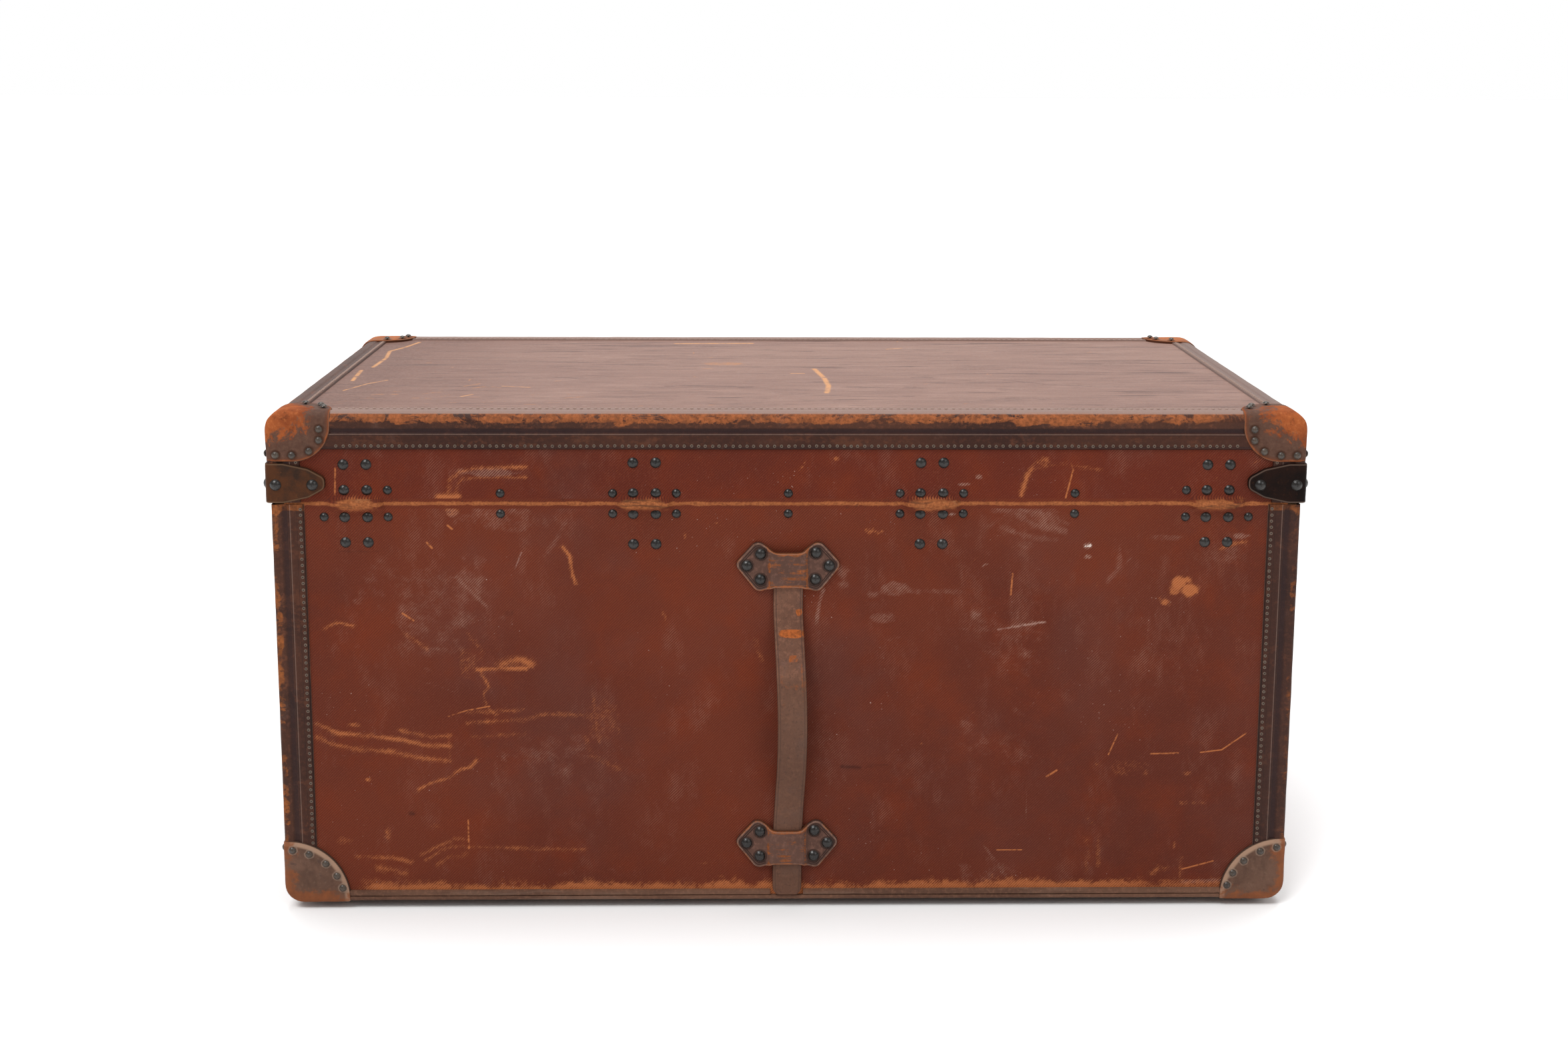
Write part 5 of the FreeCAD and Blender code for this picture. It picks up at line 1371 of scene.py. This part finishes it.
# Strokes on the back: points in the picture, width in millimetres, strength
BACK_TAN = (
    (((681, 731), (682, 715), (695, 704), (719, 698), (794, 696)), 4.0, 0.75),
    (((692, 735), (693, 722), (701, 714), (719, 712), (794, 711)), 3.2, 0.62),
    (((664, 741), (693, 740)), 6.0, 0.95),
    (((846, 816), (856, 830), (859, 854), (864, 872)), 3.2, 0.95),
    (((489, 942), (499, 936), (508, 932), (534, 937)), 3.0, 0.75),
    (((716, 1005), (745, 1004), (790, 1003)), 4.0, 0.95),
    (((750, 998), (778, 988), (796, 996)), 8.0, 0.8),
    (((719, 1006), (733, 1032), (725, 1041), (728, 1061), (743, 1077)), 2.6, 0.7),
    (((704, 951), (725, 977), (722, 987)), 4.0, 0.5),
    (((475, 1089), (505, 1104), (553, 1108), (604, 1115), (636, 1123), (673, 1124)), 4.6, 0.82),
    (((475, 1110), (496, 1121), (528, 1128), (579, 1132), (623, 1142), (673, 1148)), 5.0, 0.76),
    (((596, 1099), (623, 1105), (642, 1110), (673, 1108)), 4.2, 0.68),
    (((672, 1106), (672, 1150)), 2.4, 0.5),
    (((698, 1088), (738, 1086), (787, 1083), (811, 1075), (846, 1075), (900, 1078)), 4.0, 0.6),
    (((700, 1072), (744, 1070), (787, 1067)), 3.6, 0.5),
    (((706, 1110), (787, 1105)), 3.6, 0.36),
    (((623, 1193), (642, 1183), (671, 1174), (687, 1161), (701, 1159), (712, 1147)), 3.4, 0.8),
    (((607, 948), (642, 972)), 4.5, 0.45),
    (((528, 1300), (579, 1301), (610, 1309)), 4.4, 0.6),
    (((560, 1318), (600, 1326)), 7.0, 0.55),
    (((623, 1298), (655, 1281), (677, 1271), (700, 1274)), 3.4, 0.5),
    (((630, 1306), (661, 1287), (692, 1281)), 3.2, 0.5),
    (((649, 1314), (665, 1301), (692, 1297)), 4.0, 0.55),
    (((693, 1284), (780, 1287), (872, 1289)), 3.8, 0.5),
    (((574, 1258), (576, 1272)), 4.5, 0.8),
    (((888, 1041), (890, 1066), (896, 1120)), 3.0, 0.5),
    (((876, 1110), (884, 1140), (925, 1160)), 5.0, 0.34),
    (((1296, 790), (1300, 798), (1304, 790), (1312, 797), (1319, 793)), 2.4, 0.8),
    (((1524, 738), (1532, 708), (1545, 690), (1560, 684)), 5.0, 0.8),
    (((1545, 698), (1580, 690), (1640, 700)), 3.4, 0.45),
    (((1823, 820), (1838, 813), (1861, 809)), 4.0, 0.65),
    (((1637, 1275), (1639, 1326)), 5.0, 0.36),
    (((1655, 1271), (1656, 1317)), 2.6, 0.6),
    (((1783, 1305), (1782, 1338)), 2.6, 0.7),
    (((1738, 1330), (1748, 1322), (1762, 1324)), 5.0, 0.7),
    (((1130, 960), (1140, 990)), 4.0, 0.5),
    (((1779, 1218), (1815, 1217)), 3.0, 0.4),
)
# Ovals on the back: middle and half sizes in pixels, strength
TAN_BLOTS = (
    (1763, 871, 12, 11, 1.0), (1779, 883, 13, 10, 0.95), (1757, 885, 9, 7, 0.7), (1776, 867, 8, 6, 0.8),
    (1743, 901, 9, 8, 0.8), (1735, 896, 6, 5, 0.6), (1248, 684, 8, 6, 0.8), (547, 1177, 6, 5, 0.8),
    (530, 1091, 10, 4, 0.6), (612, 1231, 2, 2, 0.3), (1553, 690, 16, 10, 0.45), (511, 1273, 10, 6, 0.4),
    (646, 1251, 10, 5, 0.45), (1724, 1169, 4, 4, 0.6), (1786, 1171, 9, 4, 0.5), (905, 1085, 26, 30, 0.22),
    (684, 762, 14, 9, 0.5), (1690, 1160, 30, 12, 0.24), (1772, 1286, 3, 7, 0.7), (700, 996, 14, 24, 0.3),
)
WHITE_BLOTS = (
    (684, 764, 13, 9, 0.6), (740, 704, 54, 8, 0.62), (1562, 776, 40, 22, 0.42), (1528, 815, 28, 12, 0.36),
    (1500, 790, 30, 40, 0.2), (650, 905, 100, 90, 0.36), (600, 850, 50, 40, 0.32), (700, 890, 44, 30, 0.3),
    (1626, 815, 9, 7, 1.0), (1626, 832, 8, 5, 0.9), (1338, 882, 38, 12, 0.5), (1320, 925, 20, 10, 0.4),
    (1745, 802, 46, 6, 0.4), (1857, 800, 16, 5, 0.6), (1460, 711, 8, 5, 0.8), (1440, 722, 10, 3, 0.8),
    (1422, 767, 5, 3, 1.0), (1455, 922, 12, 12, 0.5), (760, 778, 100, 20, 0.34), (1810, 830, 60, 16, 0.28),
    (1500, 1330, 60, 30, 0.34), (1262, 858, 14, 26, 0.45), (1500, 960, 120, 60, 0.24),
    (830, 1150, 80, 60, 0.26), (1500, 1120, 90, 60, 0.2), (860, 1330, 160, 14, 0.2),
    (1090, 640, 20, 10, 0.3),
)

# More strokes, as for BACK_TAN
WHITE_LINES = (
    (((1483, 757), (1512, 764), (1548, 784), (1590, 792)), 10.0, 0.5),
    (((1496, 786), (1530, 800), (1578, 806)), 8.0, 0.42),
    (((1524, 762), (1566, 766), (1592, 782)), 8.0, 0.5),
    (((1500, 770), (1470, 790), (1440, 800)), 9.0, 0.34),
    (((687, 862), (732, 907)), 4.0, 0.6),
    (((620, 1021), (655, 1029), (681, 1040)), 2.4, 0.5),
    (((1232, 882), (1226, 905), (1222, 935)), 4.0, 0.7),
    (((1302, 890), (1340, 884), (1437, 885)), 7.0, 0.45),
    (((1512, 940), (1565, 932)), 2.4, 0.9),
    (((1468, 846), (1475, 843)), 2.4, 1.0),
    (((1330, 960), (1400, 940), (1480, 945)), 5.0, 0.34),
    (((1675, 820), (1672, 850), (1655, 870)), 6.0, 0.4),
    (((820, 830), (840, 800), (850, 780)), 7.0, 0.4),
    (((1480, 1285), (1500, 1310), (1520, 1345)), 3.0, 0.5),
    (((1786, 1345), (1850, 1343)), 5.0, 0.6),
    (((640, 972), (672, 972)), 4.0, 0.5),
)
# Dark strokes; the one from (516, 823) to (574, 823) is a painted shadow under the lower edge of a hinge leaf
DARK_LINES_AND_LEAF_SHADOW = (
    (((1262, 1158), (1290, 1160)), 4.0, 0.9), (((1300, 1158), (1332, 1156)), 3.0, 0.7),
    (((610, 1231), (614, 1231)), 4.0, 1.0), (((516, 823), (574, 823)), 3.0, 0.5),
    (((762, 918), (768, 918)), 5.0, 0.6), (((620, 1042), (624, 1042)), 5.0, 0.4),
)

# Thin scratches: points in the picture, width in millimetres
BODY_THIN_TAN = (
    (((671, 1078), (697, 1069), (733, 1062)), 1.0), (((646, 810), (653, 818)), 1.6),
    (((677, 784), (684, 790)), 1.6), (((1514, 858), (1512, 890)), 1.4),
    (((1806, 1137), (1838, 1133), (1874, 1107)), 1.1), (((1573, 1175), (1588, 1165)), 1.5),
    (((1730, 1139), (1772, 1138)), 1.2), (((1679, 1108), (1666, 1140)), 1.1),
    (((1785, 1324), (1832, 1311)), 1.2), (((697, 1242), (697, 1287)), 1.3),
    (((1500, 1292), (1538, 1292)), 1.0), (((607, 918), (623, 929)), 1.5),
)
BODY_THIN_PALE = ((((1494, 944), (1565, 932)), 1.3), (((785, 825), (775, 850)), 1.0))
LID_SIDE_THIN_TAN = ((((515, 698), (513, 742)), 1.4), (((1590, 742), (1600, 700), (1597, 690)), 1.3))
LID_TAN = (
    (((634, 502), (613, 510), (591, 516), (586, 527), (568, 541)), 3.4), (((551, 546), (539, 562)), 3.4),
    (((1220, 543), (1234, 557), (1240, 569), (1237, 580)), 4.4), (((1016, 503.5), (1128, 503)), 5.0),
    (((1330, 512), (1352, 510)), 3.0), (((700, 586), (716, 583)), 2.4), (((1186, 550), (1204, 550)), 2.6),
    (((527, 577), (560, 567), (590, 561)), 2.0), (((760, 570), (800, 572)), 2.0),
)
LID_DARK = (
    (((1366, 556), (1392, 556)), 4.0), (((1111, 572), (1125, 571)), 6.0), (((1066, 597), (1078, 597)), 4.0),
    (((1356, 571), (1366, 571)), 5.0), (((1168, 583), (1340, 586)), 2.0), (((1000, 570), (1010, 570)), 4.0),
    (((680, 548), (760, 544)), 2.4), (((1350, 585), (1365, 585)), 3.0), (((1500, 560), (1560, 566)), 2.4),
)


def scratches(flat, seed, count, box, reach, width, angle=None):
    """Scattered thin strokes in a box of millimetres; angle is their mean and spread, or none for any."""
    rng = np.random.default_rng(seed)
    total = np.zeros(len(flat))
    for _ in range(count):
        start = np.array([rng.uniform(box[0], box[1]), rng.uniform(box[2], box[3])])
        a = rng.normal(angle[0], angle[1]) if angle else rng.uniform(0, math.pi)
        run = np.array([math.cos(a), math.sin(a)]) * rng.uniform(*reach)
        w, strength = width * rng.uniform(0.5, 1.3), rng.uniform(0.3, 0.8)
        total = np.maximum(total, strength * smooth(w, w * 0.2, to_segment(flat, start, start + run)))
    return total


def back_marks(flat, points):
    """Tan, white and dark wear on the back, where the picture shows it; the dark strokes also hold a painted
    shadow under the lower edge of a hinge leaf.
    """
    ragged = 0.3 * rough(points, 0.06, 95, 4)
    uneven = 0.92 + 0.3 * rough(points, 0.045, 96)
    tan = np.maximum(uneven * strokes(flat, BACK_TAN), blots(flat, 1.7 * ragged, TAN_BLOTS))
    tan = np.maximum(tan, 0.95 * hinge_smear(flat[:, 0], flat[:, 1] - AXIS_Z))
    white = np.maximum(strokes(flat, WHITE_LINES), blots(flat, 1.4 * ragged, WHITE_BLOTS))
    return tan, white, strokes(flat, DARK_LINES_AND_LEAF_SHADOW)


def rim_marks(points, rim):
    """Marks where lid and body meet: a tan wear line on the edge, and painted shade along the gap itself."""
    away = np.abs(points[:, 2] - rim)
    tan = (0.62 + 0.3 * rough(points, 0.03, 97)) * smooth(5.5, 1.4, away + 1.2 * rough(points, 0.2, 98, 2))
    # The second number is painted shade along the gap between lid and body
    return tan, 0.95 * smooth(1.2, 0.3, away)


def body_marks(face, points):
    """Wear numbers for one face of the body's canvas; the dark numbers also carry painted shade along the rim
    and a painted shadow under a hinge leaf.
    """
    x, y, z = points.T
    if face == "flat":
        return {"tan": 0.12, "white": 0.0, "dark": 0.2}
    across = x if face in ("back", "front") else y
    flat = np.column_stack([across, z])
    if face == "back":
        tan, white, dark = back_marks(flat, points)
        seed, count = 5, 14
    else:
        seed, count = {"front": 21, "left": 22, "right": 23}[face], 44
        tan, dark = rim_marks(points, SEAM_Z)
        white = 0.3 * smooth(0.2, 1.2, rough(points, 0.014, seed, 4))
    span = np.abs(across).max()
    tan = np.maximum(tan, 0.8 * scratches(flat, seed, count, (-span, span, 30, 440), (3, 12), 1.5))
    white = np.maximum(white, 0.55 * scratches(flat, seed + 50, count, (-span, span, 30, 440), (6, 34), 1.6))
    by_cap = smooth(-480, -440, x) if face == "back" else 1.0
    tall = 34.0 + 7.0 * smooth(-330, -450, x) * by_cap
    band = smooth(tall, 22.0, z - 5 * lattice(points, 0.05, 61) - 4 * lattice(points, 0.3, 64))
    band *= (0.86 + 0.16 * lattice(points, 0.02, 62)) * (1 - 0.3 * smooth(330, 420, x)) * by_cap
    return {"tan": np.maximum(tan, band), "white": white, "dark": dark}


def lid_marks(face, points):
    """Wear numbers for one face of the lid's canvas; the dark numbers also carry painted shade along the rim.
    """
    x, y, z = points.T
    if face == "flat":
        flat, whole = np.column_stack([x, y]), (-480, 480, -250, 250)
        tan = scratches(flat, 31, 30, whole, (4, 16), 1.9)
        tan = np.maximum(tan, scratches(flat, 32, 40, (-500, -240, -250, -100), (5, 26), 2.4, (0.2, 0.5)))
        tan = np.maximum(tan, 0.5 * smooth(1.15, 0.5, np.hypot((x + 72) / 34, (y - 60) / 16)))
        white = 0.8 * scratches(flat, 33, 40, whole, (20, 120), 1.8, (0.0, 0.25))
        dark = 0.8 * scratches(flat, 34, 110, (-500, 500, -250, 250), (14, 70), 2.2, (0.0, 0.05))
        dark = np.maximum(dark, 0.35 * smooth(0.1, 0.9, rough(points * np.array([0.3, 1, 1]), 0.02, 35)))
        dark = np.maximum(dark, 0.4 * smooth(-380, -480, x))
        return {"tan": tan, "white": white, "dark": dark}
    flat = np.column_stack([x if face in ("back", "front") else y, z])
    if face == "back":
        tan, white, dark = back_marks(flat, points)
    else:
        tan, dark = rim_marks(points, RIM_Z)
        white = 0.0
    seed, count = {"back": (41, 6), "front": (42, 20), "left": (43, 12), "right": (44, 12)}[face]
    span = np.abs(flat[:, 0]).max()
    tan = np.maximum(tan, 0.8 * scratches(flat, seed, count, (-span, span, 455, 510), (4, 16), 1.4))
    return {"tan": tan, "white": white, "dark": dark}


# Putting it together
# Colours of painted shade in the groove, dark creases that are partly painted shade, and painted highlight on
# ridges
GROOVE_SHADE, CREASE_DARK_AND_SHADE, RIDGE_HIGHLIGHT = (38, 25, 27), (28, 18, 16), (130, 108, 98)

# Bands along the edging: distance from the trunk's edge, with 100 added on the lid's top, then half width,
# share and colour. The groove's colour is painted shade, the pale lines are painted highlights, and the dark
# lines are partly dark creases, partly painted shade
BODY_BANDS = ((14.6, 5.0, 0.66, GROOVE_SHADE), (19.8, 0.6, 0.5, RIDGE_HIGHLIGHT), (18.6, 0.5, 0.6, CREASE_DARK_AND_SHADE),
              (27.0, 0.5, 0.4, CREASE_DARK_AND_SHADE), (33.9, 0.9, 0.8, CREASE_DARK_AND_SHADE), (35.0, 0.6, 0.35, RIDGE_HIGHLIGHT))
LID_BANDS = ((20.9, 3.8, 0.8, GROOVE_SHADE), (24.6, 0.6, 0.55, RIDGE_HIGHLIGHT), (25.8, 0.5, 0.5, CREASE_DARK_AND_SHADE),
             (38.4, 1.6, 0.5, GROOVE_SHADE), (40.4, 0.9, 0.9, CREASE_DARK_AND_SHADE), (110.0, 0.8, 0.6, CREASE_DARK_AND_SHADE),
             (113.0, 0.8, 0.5, CREASE_DARK_AND_SHADE), (127.5, 0.7, 0.6, CREASE_DARK_AND_SHADE))


def thin_lines(lines, place, colour, share):
    """Scratches for a look, moved from the picture to the trunk."""
    return [([place(*p) for p in line], width, colour, share) for line, width in lines]


def canvas_pieces():
    """Both canvases and the strip that bends between them."""
    base, deep, tan = (108, 49, 30), (93, 42, 28), (178, 106, 62)
    body_lines = thin_lines(BODY_THIN_TAN, on_back, tan, 0.8)
    body_lines += thin_lines(BODY_THIN_PALE, on_back, (170, 134, 122), 0.42)
    side_lines = thin_lines(LID_SIDE_THIN_TAN, on_back, tan, 0.8)
    top_lines = thin_lines(LID_TAN, on_lid, (206, 146, 92), 0.85)
    top_lines += thin_lines(LID_DARK, on_lid, (96, 66, 58), 0.7)
    lid_side = canvas_look("lid_side_canvas", (101, 41, 25), (89, 37, 24), side_lines)
    body_canvas = canvas_look("body_canvas", base, deep, body_lines)
    make_canvas("body_canvas_skin", False, body_canvas, "body_canvas", body_marks)
    make_canvas("lid_canvas_skin", True, [lid_side, lid_top_look(top_lines)], "lid_canvas", lid_marks)
    make_seam(seam_look(base, deep))


def edging_pieces():
    """The leather edging of body and lid, with its small nails."""
    body_leather = edging_look("body_edging_leather", (76, 46, 34), (50, 31, 25), (152, 88, 48), BODY_BANDS)
    lid_leather = edging_look("lid_edging_leather", (74, 44, 32), (50, 30, 24), (160, 92, 54), LID_BANDS)
    # Rings of the nails, and a near-black painted shade for their holes; both get a painted sheen on the
    # lid's top
    nails = [eyelet_look("eyelet_metal", (124, 106, 92), (76, 58, 48), (166, 140, 128)),
             eyelet_look("eyelet_hole_shade", (16, 11, 10), (26, 19, 16), (112, 88, 78))]
    body, lid = Sheets(), Sheets()
    body_foot, lid_head, gap = 54.0, 512.0, 0.4      # the uprights run in under the caps and stop at the seam
    for side in (-1, 1):
        for face in (-1, 1):
            upright_run(body, False, side, face, body_foot, SEAM_Z - gap, 3 + side + 2 * face)
    body.piece("body_edging_worn", body_leather, "body", "edging_leather", ("body_corner_edging",), 60)
    for sense in (-1, 1):
        lid_run(lid, True, sense, 11 + sense)
        lid_run(lid, False, sense, 14 + sense)
        for face in (-1, 1):
            upright_run(lid, True, sense, face, RIM_Z + 3 * gap, lid_head, 19 + sense + 2 * face)
    replaced = ("lid_edging", "lid_corner_edging")
    lid.piece("lid_edging_worn", lid_leather, "lid", "edging_leather", replaced, 60)
    make_nails("body_eyelet_nails", False, nails)
    make_nails("lid_eyelet_nails", True, nails)


def strip_pieces():
    """The two thin strips along the lower edge; the upper one is cut out for the end of the strap."""
    strips, battens = Sheets(), Sheets()
    long_end, short_end, notch = 500.0, 241.0, 18.0
    whole, cut = ((-long_end, long_end),), ((-long_end, -notch), (notch, long_end))
    under, split, top = -25.0, 5.6, 11.7       # in under the bottom, where the two meet, upper edge
    for sense in (-1, 1):
        bottom_run(strips, True, sense, under, split, whole, 3.9, 81, 0.25)
        bottom_run(strips, False, sense, under, top, ((-short_end, short_end),), 3.9, 82, 0.2)
        bottom_run(battens, True, sense, split - 0.3, top + 0.1, cut if sense < 0 else whole, 4.0, 83, 0.15)
    look = strip_look()
    strips.piece("lower_strip_worn", look, "body", "strip_leather", ("lower_strips",), 60)
    battens.piece("lower_batten_worn", look, "body", "strip_leather", ("lower_battens",), 60)


def fitted_pieces():
    """Corner caps, brackets, loops and straps."""
    body_cap, lid_cap = body_cap_look(), lid_cap_look()
    handle, strap = handle_look(), strap_look()
    for side, side_name in ((-1, "left"), (1, "right")):
        for face, face_name in ((-1, "back"), (1, "front")):
            corner = face_name + "_" + side_name
            make_cap(False, side, face, body_cap, "body_cap_" + corner)
            make_cap(True, side, face, lid_cap, "lid_cap_" + corner)
        make_end_loops(side_name + "_end_loops", side, handle)
        make_end_strap(side_name + "_end_strap", side, strap)
    # The rims of the brackets are painted edge highlights
    brown = metal_look("bracket_brown", (76, 44, 25), (46, 32, 24), (98, 60, 34), 0.45,
                       scale=40.0, specular=0.08, rim=(104, 80, 60))
    black = metal_look("bracket_black", (30, 15, 10), (18, 10, 8), (56, 34, 22), 0.38,
                       scale=40.0, specular=0.06, rim=(100, 82, 72))
    make_brackets("back_brackets_worn", -1, [brown, black], "back_brackets")
    make_brackets("front_brackets_worn", 1, [black, brown], "front_brackets")
    make_back_loop("back_loop_upper", LOOP_HIGH, handle, 51)
    make_back_loop("back_loop_lower", LOOP_LOW, handle, 52)
    make_back_strap(strap)


def lining_pieces():
    """The cloth inside the body and the lid."""
    look = lining_look()
    make_lining("body_lining_cloth", False, look, "body_lining")
    make_lining("lid_lining_cloth", True, look, "lid_lining")


def dress_solids():
    """Materials for the solids of the part that are seen as they are."""
    pale, dark = (158, 120, 82), (120, 85, 54)
    looks = (
        (wood_look("board_wood", pale, dark, (0,)),
         "bottom_board back_board front_board lid_top_board lid_back_rail lid_front_rail"),
        (wood_look("lip_wood", pale, dark, (0, 1)), "closing_lip"),
        (wood_look("side_board_wood", (156, 119, 82), (118, 84, 53), (1,)),
         "left_board right_board lid_left_rail lid_right_rail"),
        (wood_look("runner_wood", (72, 52, 40), (50, 36, 28), (0,)), "runners"),
        (metal_look("hinge_steel", (88, 84, 80), (58, 54, 52), (88, 60, 44), 0.45, 0.7),
         "hinge_leaves_body hinge_leaves_lid hinge_pins"),
        (metal_look("rivet_metal", (34, 30, 27), (19, 17, 16), (58, 47, 38), 0.28, specular=0.45),
         "hinge_rivets_body hinge_rivets_lid loop_rivets bracket_rivets"),
        (metal_look("cap_rivet_metal", (72, 60, 49), (44, 36, 30), (108, 84, 62), 0.32),
         "cap_rivets_body cap_rivets_lid"),
        (metal_look("lock_brass", (138, 104, 58), (100, 74, 42), (70, 52, 36), 0.38, 0.8, scale=60.0),
         "lock_case clasp_cases lock_rivets_body keyhole_pin hasp_hinge_plates hasp_pins lock_rivets_lid "
         "lock_hasp left_hasp right_hasp keyhole_cover"),
    )
    for look, names in looks:
        for name in names.split():
            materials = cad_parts[name].data.materials
            materials.clear()
            materials.append(look)


def studio():
    """A white room whose light is stronger behind the trunk than before it, and three wide soft lamps.

    The camera itself sees pure white wherever there is nothing."""
    world = bpy.data.worlds.new("studio")
    bpy.context.scene.world = world
    world.use_nodes = True
    nodes, links = world.node_tree.nodes, world.node_tree.links
    kinds = ("TexCoord", "SeparateXYZ", "MapRange", "LightPath", "Math")
    place, split, ramp, path, most = (nodes.new("ShaderNode" + kind) for kind in kinds)
    links.new(place.outputs["Generated"], split.inputs[0])
    links.new(split.outputs[1], ramp.inputs["Value"])
    for socket, value in (("From Min", -0.1), ("From Max", 0.7), ("To Min", 0.34), ("To Max", 0.95)):
        ramp.inputs[socket].default_value = value
    most.operation = "MAXIMUM"
    links.new(ramp.outputs["Result"], most.inputs[0])
    links.new(path.outputs["Is Camera Ray"], most.inputs[1])
    sky = nodes["Background"]
    sky.inputs["Color"].default_value = (1.0, 1.0, 1.0, 1.0)
    links.new(most.outputs[0], sky.inputs["Strength"])

    half = 40.0
    corners = [(half * x, half * y, 0) for x, y in ((-1, -1), (1, -1), (1, 1), (-1, 1))]
    mesh = bpy.data.meshes.new("floor")
    mesh.from_pydata(corners, [], [(0, 1, 2, 3)])
    floor = bpy.data.objects.new("floor", mesh)
    bpy.context.scene.collection.objects.link(floor)
    paper = Look("floor_paper", (255, 255, 255), 0.9, 0.05)
    paper.colour = paper.mix(paper.noise(2.0), (0.96, 0.96, 0.96, 1.0), (0.97, 0.97, 0.97, 1.0))
    mesh.materials.append(paper.done())

    # Name, where it shines from, strength and width in degrees
    lamps = (("key", (-1.7, -2.0, 4.0), 1.8, 26), ("fill", (2.6, -2.6, 2.6), 0.5, 30),
             ("top", (0.2, 0.8, 4.0), 1.6, 30))
    for name, place, strength, angle in lamps:
        data = bpy.data.lights.new(name, "SUN")
        data.energy = strength
        data.angle = math.radians(angle)
        lamp = bpy.data.objects.new(name, data)
        lamp.rotation_euler = (-Vector(place)).to_track_quat("-Z", "Y").to_euler()
        bpy.context.scene.collection.objects.link(lamp)

    # Placed so that the trunk lies in the frame as in the picture
    data = bpy.data.cameras.new("camera")
    data.sensor_width, data.lens, data.shift_y = 36.0, 45.66, -0.08
    camera = bpy.data.objects.new("camera", data)
    camera.location = (-0.043, -2.337, 0.921)
    camera.rotation_euler = [math.radians(a) for a in (80.21, -0.23, -1.02)]
    bpy.context.scene.collection.objects.link(camera)
    bpy.context.scene.camera = camera
    bpy.context.scene.view_settings.view_transform = "Standard"


canvas_pieces()
edging_pieces()
strip_pieces()
fitted_pieces()
lining_pieces()
dress_solids()
studio()
